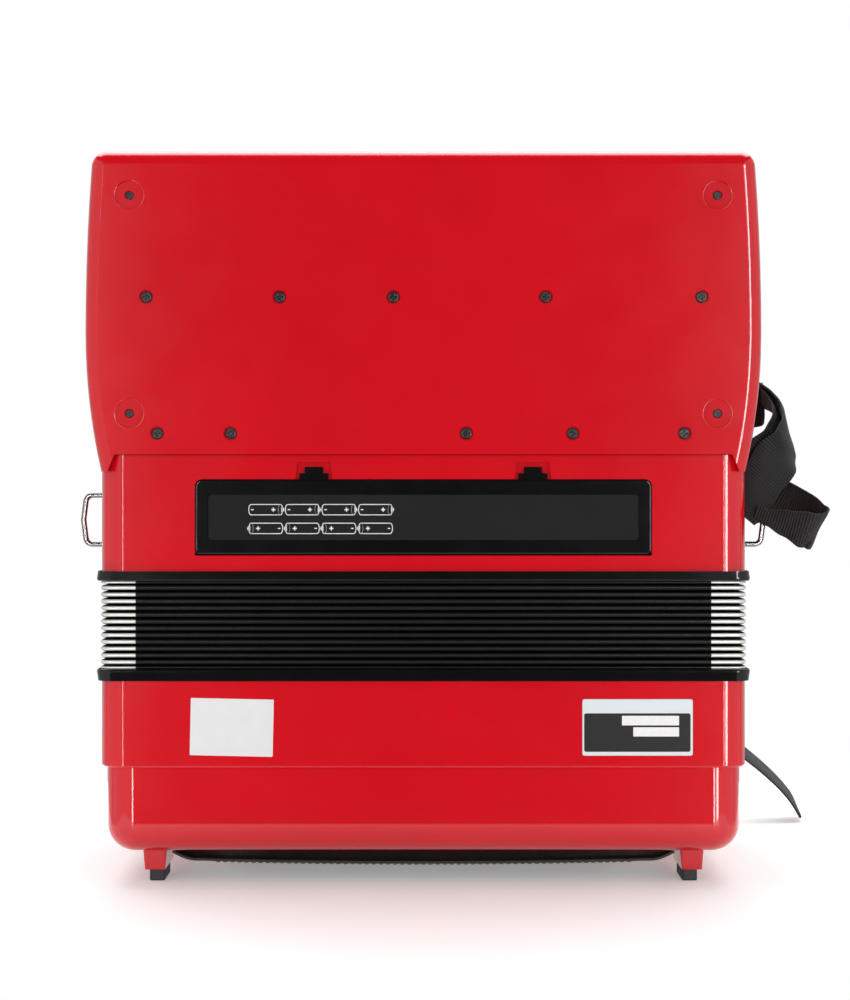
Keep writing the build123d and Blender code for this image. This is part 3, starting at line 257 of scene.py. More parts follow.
def grosgrain():
    """Ribbed black webbing: ribs across the band, fine yarns along it, with painted shade in the rib grooves
    and painted light on the crests.
    """
    made = Finish("grosgrain", (0.012, 0.012, 0.013), 0.62, sheen=0.12, specular=0.3)
    made.shader.inputs["Sheen Roughness"].default_value = 0.4
    ribs = made.node("ShaderNodeTexWave", Scale=1.0, Distortion=0.35, Detail=2.0)
    ribs.bands_direction = "Y"
    made.link(made.coordinates(uv=True, scale=(1, RIBS, 1)), ribs.inputs["Vector"])
    yarn = made.node("ShaderNodeTexWave", Scale=1.0, Distortion=0.8, Detail=1.0)
    yarn.bands_direction = "X"
    made.link(made.coordinates(uv=True, scale=(YARNS_TO_RIBS * RIBS, 1, 1)), yarn.inputs["Vector"])
    # The dark colour is painted shade in the grooves between the ribs. The lighter colour is painted light on
    # the crests.
    groove_painted_shade, crest_painted_light = (0.0020, 0.0020, 0.0023), (0.0150, 0.0150, 0.0162)
    made.colour(made.ramp(ribs.outputs["Fac"], 0.15, 0.9, (groove_painted_shade, crest_painted_light)))
    made.bump(ribs.outputs["Fac"], 0.75, 0.0004)
    made.bump(yarn.outputs["Fac"], 0.2, 0.0002)
    return made.material


def leather():
    colour = (0.009, 0.0085, 0.008)
    made = Finish("leather", colour, 0.48, specular=0.3)
    variation(made, colour, 0.25, 50)
    cells = made.node("ShaderNodeTexVoronoi", Scale=900.0)
    cells.feature = "DISTANCE_TO_EDGE"
    made.link(made.coordinates(), cells.inputs["Vector"])
    made.bump(made.ramp(cells.outputs["Distance"], 0.0, 0.25), 0.35, 0.0003)
    made.roughness(made.noise(200, 4), 0.40, 0.58)
    return made.material


def thread():
    made = Finish("thread", (0.05, 0.05, 0.052), 0.6, sheen=0.3)
    made.bump(made.noise(4000, 2), 0.3, 0.0001)
    made.roughness(made.noise(800, 2), 0.5, 0.7)
    return made.material


def key_ivory():
    colour = (0.84, 0.83, 0.79)
    made = Finish("key_ivory", colour, 0.18, coat=0.4)
    variation(made, colour, 0.015, 20)
    made.roughness(made.noise(60, 4), 0.14, 0.26)
    made.bump(made.noise(600, 2), 0.03, 0.0002)
    return made.material


def key_ebony():
    colour = (0.009, 0.009, 0.0095)
    made = Finish("key_ebony", colour, 0.30)
    variation(made, colour, 0.2, 40)
    grain = made.coordinates(scale=(500, 500, 30))
    made.roughness(made.noise(1.0, 4, grain), 0.24, 0.40)
    made.bump(made.noise(1.0, 4, grain), 0.08, 0.0002)
    return made.material


def button_cream():
    colour = (0.78, 0.77, 0.72)
    made = Finish("button_cream", colour, 0.22, coat=0.3)
    variation(made, colour, 0.03, 60)
    made.roughness(made.noise(200, 3), 0.16, 0.32)
    return made.material


def brushed_aluminium():
    made = Finish("brushed_aluminium", (0.72, 0.72, 0.74), 0.3, metallic=1.0)
    brushed = made.coordinates(scale=(8, 900, 900))
    made.roughness(made.noise(1.0, 4, brushed), 0.24, 0.42)
    made.bump(made.noise(1.0, 4, brushed), 0.08, 0.0002)
    return made.material


def bright_steel():
    made = Finish("bright_steel", (0.62, 0.61, 0.60), 0.22, metallic=1.0)
    made.roughness(made.noise(400, 3), 0.16, 0.32)
    made.bump(made.noise(900, 2), 0.05, 0.0002)
    return made.material


def blackened_steel():
    """Black oxide of the screws, rubbed a little brighter in places."""
    made = Finish("blackened_steel", (0.02, 0.02, 0.021), 0.34, metallic=0.7)
    wear = made.noise(700, 4)
    made.colour(made.ramp(wear, 0.45, 0.75, ((0.012, 0.012, 0.013), (0.06, 0.058, 0.056))))
    made.roughness(wear, 0.26, 0.46)
    made.bump(made.noise(1500, 2), 0.1, 0.0001)
    return made.material


def circuit_green():
    made = Finish("circuit_green", (0.01, 0.07, 0.03), 0.35)
    traces = made.noise(240, 1)
    made.colour(made.ramp(traces, 0.48, 0.54, ((0.008, 0.06, 0.025), (0.02, 0.12, 0.05))))
    made.bump(traces, 0.1, 0.0001)
    return made.material


def cell_sleeve():
    """Green shrink sleeve of a plain cell."""
    made = Finish("cell_sleeve", (0.03, 0.10, 0.06), 0.25, coat=0.3)
    variation(made, (0.02, 0.14, 0.07), 0.15, 40)
    made.roughness(made.noise(300, 3), 0.2, 0.34)
    return made.material


def cloth_screen():
    colour = (0.007, 0.007, 0.007)
    made = Finish("cloth_screen", colour, 0.8, sheen=0.2)
    variation(made, colour, 0.3, 200)
    weave = made.coordinates(scale=(2600, 2600, 2600))
    made.bump(made.noise(1.0, 1, weave), 0.5, 0.0003)
    return made.material


def speaker_paper():
    colour = (0.02, 0.02, 0.02)
    made = Finish("speaker_paper", colour, 0.75)
    made.bump(made.noise(800, 3), 0.3, 0.0003)
    variation(made, colour, 0.2, 100)
    return made.material


def label_paper():
    colour = (0.71, 0.72, 0.72)
    made = Finish("label_paper", colour, 0.6, specular=0.15)
    variation(made, colour, 0.02, 120)
    made.bump(made.noise(1800, 3), 0.08, 0.0001)
    return made.material


def plate_silver():
    made = Finish("plate_silver", (0.62, 0.67, 0.69), 0.5, metallic=0.1, specular=0.12)
    made.roughness(made.noise(900, 2), 0.46, 0.6)
    made.bump(made.noise(2200, 2), 0.06, 0.0001)
    return made.material


def print_black():
    colour = (0.012, 0.012, 0.013)
    made = Finish("print_black", colour, 0.42, specular=0.15)
    variation(made, colour, 0.1, 200)
    made.bump(made.noise(2500, 2), 0.08, 0.0001)
    return made.material


def door_matt():
    """Fine matt texture of the panel let into the battery door."""
    colour = (0.0105, 0.0105, 0.0105)
    made = Finish("door_matt", colour, 0.62, specular=0.09)
    variation(made, colour, 0.06, 40)
    made.bump(made.noise(2400, 3), 0.2, 0.0002)
    return made.material


def print_white():
    made = Finish("print_white", (0.82, 0.82, 0.82), 0.5, specular=0.15)
    variation(made, (0.80, 0.80, 0.80), 0.03, 300)
    made.bump(made.noise(2500, 2), 0.1, 0.0001)
    return made.material


FINISHES = {make.__name__: make() for make in (
    red_lacquer, black_gloss, black_grained, black_satin, rubber, chrome, cap_metal, bellows_board,
    bellows_tape, grosgrain, leather, thread, key_ivory, key_ebony, button_cream, brushed_aluminium,
    bright_steel, blackened_steel, circuit_green, cell_sleeve, cloth_screen, speaker_paper, label_paper,
    plate_silver, print_white, print_black, door_matt)}

NODE_FINISH = {
    "keyboard_back_cover": "red_lacquer", "treble_case": "red_lacquer", "treble_grille": "red_lacquer",
    "bass_case": "red_lacquer", "bass_cover": "red_lacquer", "upper_bellows_frame": "black_gloss",
    "lower_bellows_frame": "black_gloss", "battery_door": "black_gloss", "bass_button_board": "black_grained",
    "battery_tray": "black_grained", "register_buttons": "black_satin", "volume_knob": "black_satin",
    "rubber_feet": "rubber", "strap_brackets": "chrome", "air_button": "button_cream",
    "key_bed": "brushed_aluminium", "key_axle": "bright_steel", "battery_contacts": "bright_steel",
    "main_board": "circuit_green", "batteries": "cell_sleeve", "grille_cloth": "cloth_screen",
    "speakers": "speaker_paper", "case_screws": "blackened_steel", "label_plates": "label_paper",
    "bellows": "bellows_board", "bellows_corners": "cap_metal", "hand_strap": "leather",
    "shoulder_strap": "grosgrain"}


def finish_of(node):
    """The finish of a CAD node: keys and button rows by their names, the rest by the table."""
    if node.startswith("key_") and node not in NODE_FINISH:
        return "key_ebony" if "sharp" in node else "key_ivory"
    if node.startswith("bass_buttons_row"):
        return "button_cream"
    return NODE_FINISH[node]


for node_name, node_object in frame["nodes"].items():
    for material_slot in node_object.material_slots:
        material_slot.material = FINISHES[finish_of(node_name)]


# ==================================================================== mesh helpers
SMALLEST_R = 0.6 * MM     # corner radius at which an inset stops
PLATE_BEVEL = 0.2 * MM


def piece(name, vertices, faces, finish, body=None, smooth=True, uvs=None):
    """A mesh object with outward faces, riding on a body."""
    mesh = bpy.data.meshes.new(name)
    mesh.from_pydata([tuple(v) for v in vertices], [], faces)
    if uvs:
        layer = mesh.uv_layers.new(name="UVMap")
        for loop in mesh.loops:
            layer.data[loop.index].uv = uvs[loop.vertex_index]
    work = bmesh.new()
    work.from_mesh(mesh)
    bmesh.ops.recalc_face_normals(work, faces=work.faces)
    work.to_mesh(mesh)
    work.free()
    mesh.polygons.foreach_set("use_smooth", [smooth] * len(mesh.polygons))
    mesh.materials.append(FINISHES[finish])
    made = bpy.data.objects.new(name, mesh)
    bpy.context.scene.collection.objects.link(made)
    if body:
        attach(made, body)
    return made


def harden(made, angle=35):
    """Sharp edges stay sharp while the rest is smooth."""
    work = bmesh.new()
    work.from_mesh(made.data)
    for edge in work.edges:
        edge.smooth = not (edge.is_manifold and edge.calc_face_angle(0) > radians(angle))
    work.to_mesh(made.data)
    work.free()
    return made


def rounded_path(half_x, half_y, radius, steps=6):
    """Points of a rounded rectangle in XY, anticlockwise."""
    points = []
    for quarter, (sx, sy) in enumerate(((1, 1), (-1, 1), (-1, -1), (1, -1))):
        for step in range(steps + 1):
            angle = pi / 2 * (quarter + step / steps)
            points.append((sx * (half_x - radius) + radius * cos(angle),
                           sy * (half_y - radius) + radius * sin(angle)))
    return points


def ring_mesh(half_x, half_y, radius, profile):
    """Sweeps a closed profile of (inset, z) points round a rounded rectangle."""
    loops = []
    for inset, z in profile:
        path = rounded_path(half_x - inset, half_y - inset, max(radius - inset, SMALLEST_R))
        loops.append([(x, y, z) for x, y in path])
    count, around = len(profile), len(loops[0])
    vertices = [v for loop in loops for v in loop]
    faces = [(i * around + j, i * around + (j + 1) % around,
              (i + 1) % count * around + (j + 1) % around, (i + 1) % count * around + j)
             for i in range(count) for j in range(around)]
    return vertices, faces


def plate(name, low, high, y, thickness, radius, finish, body, steps=5):
    """A thin rounded plate facing -Y, between two (x, z) corners, standing out from y."""
    centre = ((low[0] + high[0]) / 2, (low[1] + high[1]) / 2)
    outline = rounded_path((high[0] - low[0]) / 2, (high[1] - low[1]) / 2, radius, steps)
    count = len(outline)
    edge = min(thickness / 2, PLATE_BEVEL)
    inner = rounded_path((high[0] - low[0]) / 2 - edge, (high[1] - low[1]) / 2 - edge,
                         max(radius - edge, 1e-5), steps)
    vertices = [(centre[0] + u, y, centre[1] + v) for u, v in outline]
    vertices += [(centre[0] + u, y - thickness + edge, centre[1] + v) for u, v in outline]
    vertices += [(centre[0] + u, y - thickness, centre[1] + v) for u, v in inner]
    faces = [tuple(range(count)), tuple(range(2 * count, 3 * count))]
    for base in (0, count):
        faces += [(base + j, base + (j + 1) % count, base + count + (j + 1) % count, base + count + j)
                  for j in range(count)]
    return harden(piece(name, vertices, faces, finish, body))


def baked(made):
    """The evaluated mesh of a piece as a plain object, with its modifiers gone."""
    mesh = bpy.data.meshes.new_from_object(made.evaluated_get(bpy.context.evaluated_depsgraph_get()))
    old = made.data
    made.modifiers.clear()
    made.data = mesh
    if old.users == 0:
        bpy.data.meshes.remove(old)
    return made


def copies_by_nodes(name, template, places, finish, body, size=1.0):
    """Geometry Nodes put a copy of template on every place; the result is one plain mesh."""
    tree = bpy.data.node_groups.new(name + "_tree", "GeometryNodeTree")
    tree.interface.new_socket("Places", in_out="INPUT", socket_type="NodeSocketGeometry")
    size_socket = tree.interface.new_socket("Copy size", in_out="INPUT", socket_type="NodeSocketFloat")
    tree.interface.new_socket("Copies", in_out="OUTPUT", socket_type="NodeSocketGeometry")
    group_in = tree.nodes.new("NodeGroupInput")
    group_out = tree.nodes.new("NodeGroupOutput")
    source = tree.nodes.new("GeometryNodeObjectInfo")
    source.inputs["Object"].default_value = template
    on_points = tree.nodes.new("GeometryNodeInstanceOnPoints")
    realize = tree.nodes.new("GeometryNodeRealizeInstances")
    set_finish = tree.nodes.new("GeometryNodeSetMaterial")
    set_finish.inputs["Material"].default_value = FINISHES[finish]
    tree.links.new(group_in.outputs["Places"], on_points.inputs["Points"])
    tree.links.new(group_in.outputs["Copy size"], on_points.inputs["Scale"])
    tree.links.new(source.outputs["Geometry"], on_points.inputs["Instance"])
    tree.links.new(on_points.outputs["Instances"], realize.inputs["Geometry"])
    tree.links.new(realize.outputs["Geometry"], set_finish.inputs["Geometry"])
    tree.links.new(set_finish.outputs["Geometry"], group_out.inputs["Copies"])
    mesh = bpy.data.meshes.new(name)
    mesh.from_pydata([tuple(p) for p in places], [], [])
    made = bpy.data.objects.new(name, mesh)
    bpy.context.scene.collection.objects.link(made)
    modifier = made.modifiers.new("copies", "NODES")
    modifier.node_group = tree
    modifier[size_socket.identifier] = size
    baked(made)
    bpy.data.objects.remove(template)
    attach(made, body)
    return made


# ==================================================================== camera, light and stage
BACK_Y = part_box("treble_case")[0].y
EYE_DISTANCE = 1.10       # from the treble body's back
EYE = Vector((0.0009, BACK_Y - EYE_DISTANCE, 0.2193))
VIEW_HEIGHT = 0.566       # metres of the treble body's back that the frame's height shows
PANEL_LOW, PANEL_HIGH = -0.45, 0.95


def camera():
    data = bpy.data.cameras.new("camera")
    data.lens = EYE_DISTANCE / VIEW_HEIGHT * data.sensor_width
    made = bpy.data.objects.new("camera", data)
    made.location = EYE
    made.rotation_euler = (pi / 2, 0, 0)
    bpy.context.scene.collection.objects.link(made)
    bpy.context.scene.camera = made


def softbox(name, place, target, width, height, power):
    data = bpy.data.lights.new(name, "AREA")
    data.shape = "RECTANGLE"
    data.size = width
    data.size_y = height
    data.energy = power
    made = bpy.data.objects.new(name, data)
    made.location = place
    made.rotation_euler = (Vector(target) - Vector(place)).to_track_quat("-Z", "Y").to_euler()
    bpy.context.scene.collection.objects.link(made)
    return made


def side_light(name, near, far, low, high, power, reflected_only=False, sides=(-1, 1)):
    """An upright panel between two points of the plan, as a rule mirrored on the other side.

    reflected_only keeps it out of the light on matt surfaces.
    """
    for side in sides:
        a, b = Vector((side * near[0], near[1], 0)), Vector((side * far[0], far[1], 0))
        centre = (a + b) / 2 + Vector((0, 0, (low + high) / 2))
        along = (b - a).normalized()
        inward = Vector((-along.y, along.x, 0))
        if inward.x * side > 0:
            inward = -inward
        made = softbox(name, centre, centre + inward, (b - a).length, high - low, power)
        made.visible_diffuse = not reflected_only


def lights():
    """Softboxes beside the camera, panels round the sides, above and behind.

    The two strips beside the camera are seen in reflections only, one of them on the right alone.
    """
    side_light("softbox", (0.69, -2.40), (0.90, -2.34), PANEL_LOW, PANEL_HIGH, 13)
    side_light("edge_strip", (0.70, -2.41), (0.84, -2.37), PANEL_LOW, PANEL_HIGH, 8, reflected_only=True)
    side_light("right_strip", (1.04, -2.34), (1.24, -2.25), PANEL_LOW, PANEL_HIGH, 16,
               reflected_only=True, sides=(1,))
    side_light("side_panel", (1.05, -2.25), (1.6, 0.15), -0.9, 1.5, 13)
    side_light("rear_panel", (1.6, 0.25), (1.0, 1.9), -0.5, 1.5, 6)
    softbox("overhead_panel", (0, 0.60, 1.9), (0, 0.0, 0.1), 2.6, 1.6, 52)
    softbox("far_fill", (0, 2.3, 1.5), (0, 0, 0.2), 2.2, 1.2, 7)


def camera_white(material, base, camera_strength, other_strength):
    """Adds plain white light of the surface itself, as the camera, metal and glass see it."""
    tree = material.node_tree
    path = tree.nodes.new("ShaderNodeLightPath")
    seen = tree.nodes.new("ShaderNodeMath")
    seen.operation = "MAXIMUM"
    seen_more = tree.nodes.new("ShaderNodeMath")
    seen_more.operation = "MAXIMUM"
    strength = tree.nodes.new("ShaderNodeMapRange")
    strength.inputs["To Min"].default_value = other_strength
    strength.inputs["To Max"].default_value = camera_strength
    glow = tree.nodes.new("ShaderNodeEmission")
    add = tree.nodes.new("ShaderNodeAddShader")
    output = tree.nodes["Material Output"]
    tree.links.new(path.outputs["Is Camera Ray"], seen.inputs[0])
    tree.links.new(path.outputs["Is Glossy Ray"], seen.inputs[1])
    tree.links.new(seen.outputs[0], seen_more.inputs[0])
    tree.links.new(path.outputs["Is Transmission Ray"], seen_more.inputs[1])
    tree.links.new(seen_more.outputs[0], strength.inputs["Value"])
    tree.links.new(strength.outputs["Result"], glow.inputs["Strength"])
    tree.links.new(base, add.inputs[0])
    tree.links.new(glow.outputs["Emission"], add.inputs[1])
    tree.links.new(add.outputs["Shader"], output.inputs["Surface"])


def stage():
    """A pale floor that keeps the object's shadow, under a white world."""
    material = bpy.data.materials.new("studio_floor")
    material.use_nodes = True
    shader = material.node_tree.nodes["Principled BSDF"]
    shader.inputs["Base Color"].default_value = (0.86, 0.86, 0.86, 1)
    shader.inputs["Roughness"].default_value = 0.42
    shader.inputs["Specular IOR Level"].default_value = 0.25
    camera_white(material, shader.outputs["BSDF"], 0.26, 0.0)
    beyond_x, beyond_y, corner, below = 0.12, 0.16, 0.1, 0.0002
    reach_x, reach_y = cad_box[1][0] + beyond_x, max(-cad_box[0][1], cad_box[1][1]) + beyond_y
    outline = rounded_path(reach_x, reach_y, corner, 16)
    mesh = bpy.data.meshes.new("studio_floor")
    mesh.from_pydata([(x, y, 0) for x, y in outline], [], [tuple(range(len(outline)))])
    mesh.materials.append(material)
    floor = bpy.data.objects.new("studio_floor", mesh)
    floor.location.z = -below
    bpy.context.scene.collection.objects.link(floor)


def world():
    """White behind the object for the camera, dim and even for the light that it gives."""
    made = bpy.data.worlds.new("studio")
    bpy.context.scene.world = made
    made.use_nodes = True
    tree = made.node_tree
    background = tree.nodes["Background"]
    background.inputs["Color"].default_value = (1, 1, 1, 1)
    path = tree.nodes.new("ShaderNodeLightPath")
    reflected = tree.nodes.new("ShaderNodeMapRange")
    reflected.inputs["To Min"].default_value = 0.36
    reflected.inputs["To Max"].default_value = 0.05
    shown = tree.nodes.new("ShaderNodeMix")
    tree.links.new(path.outputs["Is Glossy Ray"], reflected.inputs["Value"])
    tree.links.new(path.outputs["Is Camera Ray"], shown.inputs["Factor"])
    tree.links.new(reflected.outputs["Result"], shown.inputs["A"])
    shown.inputs["B"].default_value = 1.0
    tree.links.new(shown.outputs["Result"], background.inputs["Strength"])


camera()
lights()
stage()
world()
bpy.context.scene.view_settings.view_transform = "Standard"


FOLDS = 13
RIDGE_T = 2.9 * MM
VALLEY = 13 * MM
BELLOWS_R = 5 * MM        # corner radius
CAP_REACH = 20 * MM
CAP_DEPTH = 5 * MM
CAP_SHARE = 0.58          # of a ridge's thickness
FOLD_START = 1.6 * MM     # inset at which a fold leaves its ridge
FOLD_T = 1.4 * MM
RIM = RIDGE_T * 0.4       # from a ridge's middle to the fold's edge


def ridge_profile(z, thickness, inner, proud=0.0):
    """A half-round ridge: rounded outside, flat inside."""
    half = thickness / 2 + proud * 0.5
    points = [(half * 0.75 - proud - half * 0.75 * cos(a), z + half * sin(a))
              for a in (radians(d) for d in (-90, -60, -30, 0, 30, 60, 90))]
    return points + [(inner, z + half), (inner, z - half)]


def cap_mesh(half_x, half_y, radius, reach, profile):
    """Sweeps the profile round each of the four corners, as far as reach along the sides."""
    vertices, faces = [], []
    steps = 6
    for sx, sy in ((1, 1), (-1, 1), (-1, -1), (1, -1)):
        start = len(vertices)
        stations = steps + 3
        for inset, z in profile:
            r = max(radius - inset, SMALLEST_R)
            cx, cy = half_x - inset - r, half_y - inset - r
            line = [(half_x - inset, half_y - reach)]
            turns = [pi / 2 * i / steps for i in range(steps + 1)]
            line += [(cx + r * cos(a), cy + r * sin(a)) for a in turns]
            line += [(half_x - reach, half_y - inset)]
            vertices += [(sx * x, sy * y, z) for x, y in line]
        count = len(profile)
        for i in range(count):
            for j in range(stations - 1):
                a, b = start + i * stations + j, start + (i + 1) % count * stations + j
                faces.append((a, a + 1, b + 1, b))
        faces.append(tuple(start + i * stations for i in range(count)))
        faces.append(tuple(start + i * stations + stations - 1 for i in range(count)))
    return vertices, faces


def bellows():
    """Ridges with their corner caps, and folds that run from one ridge's rim to the next, all fixed in place.
    """
    low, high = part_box("bellows")
    cap_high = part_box("bellows_corners")[1]
    pitch = (high.z - low.z) / FOLDS
    proud = cap_high.x - high.x
    heights = [low.z + i * pitch for i in range(FOLDS + 1)]
    for i, z in enumerate(heights):
        thickness = RIDGE_T if 0 < i < FOLDS else RIDGE_T / 2
        middle = z + (RIDGE_T / 4 if i == 0 else -RIDGE_T / 4 if i == FOLDS else 0)
        ridge = ring_mesh(high.x, high.y, BELLOWS_R, ridge_profile(middle, thickness, VALLEY))
        tape = piece(f"bellows_ridge_{i + 1}", *ridge, "bellows_tape")
        cap = ridge_profile(middle, thickness * CAP_SHARE, CAP_DEPTH, proud)
        caps = harden(piece(f"bellows_caps_{i + 1}", *cap_mesh(high.x, high.y, BELLOWS_R, CAP_REACH, cap),
                            "cap_metal"), 50)
        for made in (tape, caps):
            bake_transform(made)
        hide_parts("bellows")
        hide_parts("bellows_corners")
    fold_end = FOLD_START + FOLD_T
    for i in range(FOLDS):
        below, above = heights[i], heights[i + 1]
        middle = (below + above) / 2
        profile = [(FOLD_START, below + RIM), (VALLEY, middle), (FOLD_START, above - RIM),
                   (fold_end, above - RIM), (VALLEY + 1 * MM, middle), (fold_end, below + RIM)]
        fold = harden(piece(f"bellows_fold_{i + 1}", *ring_mesh(high.x, high.y, BELLOWS_R, profile),
                            "bellows_board"))
        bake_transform(fold)


bellows()


# ==================================================================== battery door
def stroke_path(points, width, y, thickness):
    """A flat closed line of even width along (x, z) points, standing out from y."""
    vertices, faces = [], []
    count = len(points)
    for i, (x, z) in enumerate(points):
        ax, az = points[i - 1]
        bx, bz = points[(i + 1) % count]
        tangent = Vector((bx - ax, 0, bz - az)).normalized()
        side = Vector((-tangent.z, 0, tangent.x)) * width / 2
        for offset in (side, -side):
            vertices += [(x + offset.x, y, z + offset.z), (x + offset.x, y - thickness, z + offset.z)]
    for i in range(count):
        a, b = 4 * i, 4 * ((i + 1) % count)
        for p, q in ((0, 1), (1, 3), (3, 2), (2, 0)):
            faces.append((a + p, a + q, b + q, b + p))
    return vertices, faces


def joined(parts):
    """One list of vertices and faces from several."""
    vertices, faces = [], []
    for more_vertices, more_faces in parts:
        start = len(vertices)
        vertices += more_vertices
        faces += [tuple(start + i for i in face) for face in more_faces]
    return vertices, faces


def block(x, z, width, height, y, thickness):
    """A flat block centred on (x, z), standing out from y."""
    vertices = [(x + sx * width / 2, y - t, z + sz * height / 2)
                for t in (0, thickness) for sx, sz in ((-1, -1), (1, -1), (1, 1), (-1, 1))]
    return vertices, [(0, 1, 2, 3), (4, 5, 6, 7), (0, 1, 5, 4), (1, 2, 6, 5), (2, 3, 7, 6), (3, 0, 4, 7)]


def cell_sign(x, z, pole, y):
    """The outline of one cell with its cap, nub, plus and minus, its positive end towards pole."""
    line, rise, half = 0.42 * MM, 0.06 * MM, 2.95 * MM
    plain_end, cap_x, bulge = x - pole * 9.6 * MM, x + pole * 8.3 * MM, 1.25 * MM
    turns = [radians(d) for d in range(-90, 91, 15)]
    body = [(plain_end + pole * 1.3 * MM * (1 - cos(a)), z - half * sin(a)) for a in turns]
    body += [(cap_x + pole * bulge * cos(a), z + half * sin(a)) for a in turns]
    rim = [(cap_x - pole * bulge * cos(a), z + half * sin(a)) for a in turns]
    rim += [(px + pole * 0.04 * MM, pz) for px, pz in reversed(rim)]
    nub = [(cap_x + pole * (0.5 + 1.7 * cos(a)) * MM, z + 1.5 * MM * sin(a)) for a in turns]
    count = len(nub)
    nub_mesh = ([(u, y, v) for u, v in nub] + [(u, y - rise, v) for u, v in nub],
                [tuple(range(count)), tuple(range(count, 2 * count))]
                + [(i, (i + 1) % count, count + (i + 1) % count, count + i) for i in range(count)])
    plus_x, minus_x = x + pole * 4.3 * MM, x - pole * 7.6 * MM
    arm, width = 2.3 * MM, 0.62 * MM
    side = (arm - width) / 2
    return [stroke_path(body, line, y, rise), stroke_path(rim, line * 0.45, y, rise), nub_mesh,
            block(plus_x, z, arm, width, y, rise),
            block(plus_x, z + (width + side) / 2, width, side, y, rise),
            block(plus_x, z - (width + side) / 2, width, side, y, rise),
            block(minus_x, z, 1.4 * MM, 0.55 * MM, y, rise)]


def door_face():
    """The matt panel let into the door, with the signs for eight cells."""
    low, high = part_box("battery_door")
    tray_low, tray_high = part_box("battery_tray")
    width = (tray_high.x - tray_low.x) / 2 + 1 * MM
    middle_x = (low.x + high.x) / 2
    middle_z = (tray_low.z + tray_high.z) / 2 - 1.2 * MM
    floor_y = low.y + 0.5 * MM
    half_x, half_z, thickness = width - 7.3 * MM, 12.9 * MM, 0.12 * MM
    plate("door_panel", (middle_x - half_x, middle_z - half_z), (middle_x + half_x, middle_z + half_z),
          floor_y, thickness, 1.8 * MM, "door_matt", "battery_door")
    first_x, spacing = middle_x - 89.2 * MM, 20.7 * MM
    rows_z, row_offset = middle_z - 0.9 * MM, 5.3 * MM
    signs = []
    for row, pole in ((1, 1), (-1, -1)):
        for i in range(4):
            signs += cell_sign(first_x + spacing * i, rows_z + row * row_offset, pole, floor_y - thickness)
    piece("cell_signs", *joined(signs), "print_white", "battery_door", smooth=False)


door_face()


# ==================================================================== screws
HEAD_STEPS = 36           # points round a screw head
HEAD_TOP = 1.15 * MM
DISH_SHARE = 0.9          # of the largest head's radius: a smaller head sits in a dish


def cross_head(radius):
    """A round screw head facing -Y with a cross recess."""
    mesh = bpy.data.meshes.new("cross_head")
    work = bmesh.new()
    arm, half = radius * 0.55, radius * 0.13
    cross = [(arm, -half), (arm, half), (half, half), (half, arm), (-half, arm), (-half, half),
             (-arm, half), (-arm, -half), (-half, -half), (-half, -arm), (half, -arm), (half, -half)]
    cross = cross[1:] + cross[:1]
    rings = []
    for scale, y in ((1.0, 0.0), (1.0, -0.75 * MM), (0.93, -1.05 * MM), (0.80, -HEAD_TOP)):
        turns = [2 * pi * i / HEAD_STEPS for i in range(HEAD_STEPS)]
        rings.append([work.verts.new((radius * scale * cos(a), y, radius * scale * sin(a))) for a in turns])
    for a, b in zip(rings, rings[1:]):
        for i in range(HEAD_STEPS):
            work.faces.new((a[i], a[(i + 1) % HEAD_STEPS], b[(i + 1) % HEAD_STEPS], b[i]))
    top = [work.verts.new((x, -HEAD_TOP, z)) for x, z in cross]
    bottom = [work.verts.new((x * 0.72, -0.35 * MM, z * 0.72)) for x, z in cross]
    count = len(cross)
    for i in range(count):
        work.faces.new((top[i], top[(i + 1) % count], bottom[(i + 1) % count], bottom[i]))
    work.faces.new(bottom)
    work.faces.new(list(reversed(rings[0])))
    work.edges.ensure_lookup_table()
    rim = [e for e in work.edges if len(e.link_faces) == 1]
    bmesh.ops.triangle_fill(work, use_beauty=True, edges=rim)
    bmesh.ops.recalc_face_normals(work, faces=work.faces)
    work.to_mesh(mesh)
    work.free()
    made = bpy.data.objects.new("cross_head", mesh)
    bpy.context.scene.collection.objects.link(made)
    return harden(made, 30)


def screw_places():
    """Where the heads sit, and how large each is: read from the CAD screws' own head faces."""
    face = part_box("case_screws")[0].y
    groups = []
    for vertex in frame["nodes"]["case_screws"].data.vertices:
        point = vertex.co
        if abs(point.y - face) > 0.05 * MM:
            continue
        for group in groups:
            if (group[0] - point).length < 8 * MM:
                group.append(point)
                break
        else:
            groups.append([point])
    places = []
    for group in groups:
        xs, zs = [p.x for p in group], [p.z for p in group]
        places.append(((min(xs) + max(xs)) / 2, face + 1.2 * MM, (min(zs) + max(zs)) / 2,
                       (max(xs) - min(xs)) / 2))
    return places


def screw_heads():
    """Geometry Nodes set a head on every seat, in the two sizes of the CAD screws."""
    places = screw_places()
    largest = max(place[3] for place in places)
    for name, wanted in (("case_screw_heads", lambda r: r > DISH_SHARE * largest),
                         ("dish_screw_heads", lambda r: r <= DISH_SHARE * largest)):
        chosen = [place for place in places if wanted(place[3])]
        if chosen:
            heads = copies_by_nodes(name, cross_head(chosen[0][3] * 0.98), [place[:3] for place in chosen],
                                    "blackened_steel", TREBLE)
            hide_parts("case_screws")
    return places


seats = screw_heads()


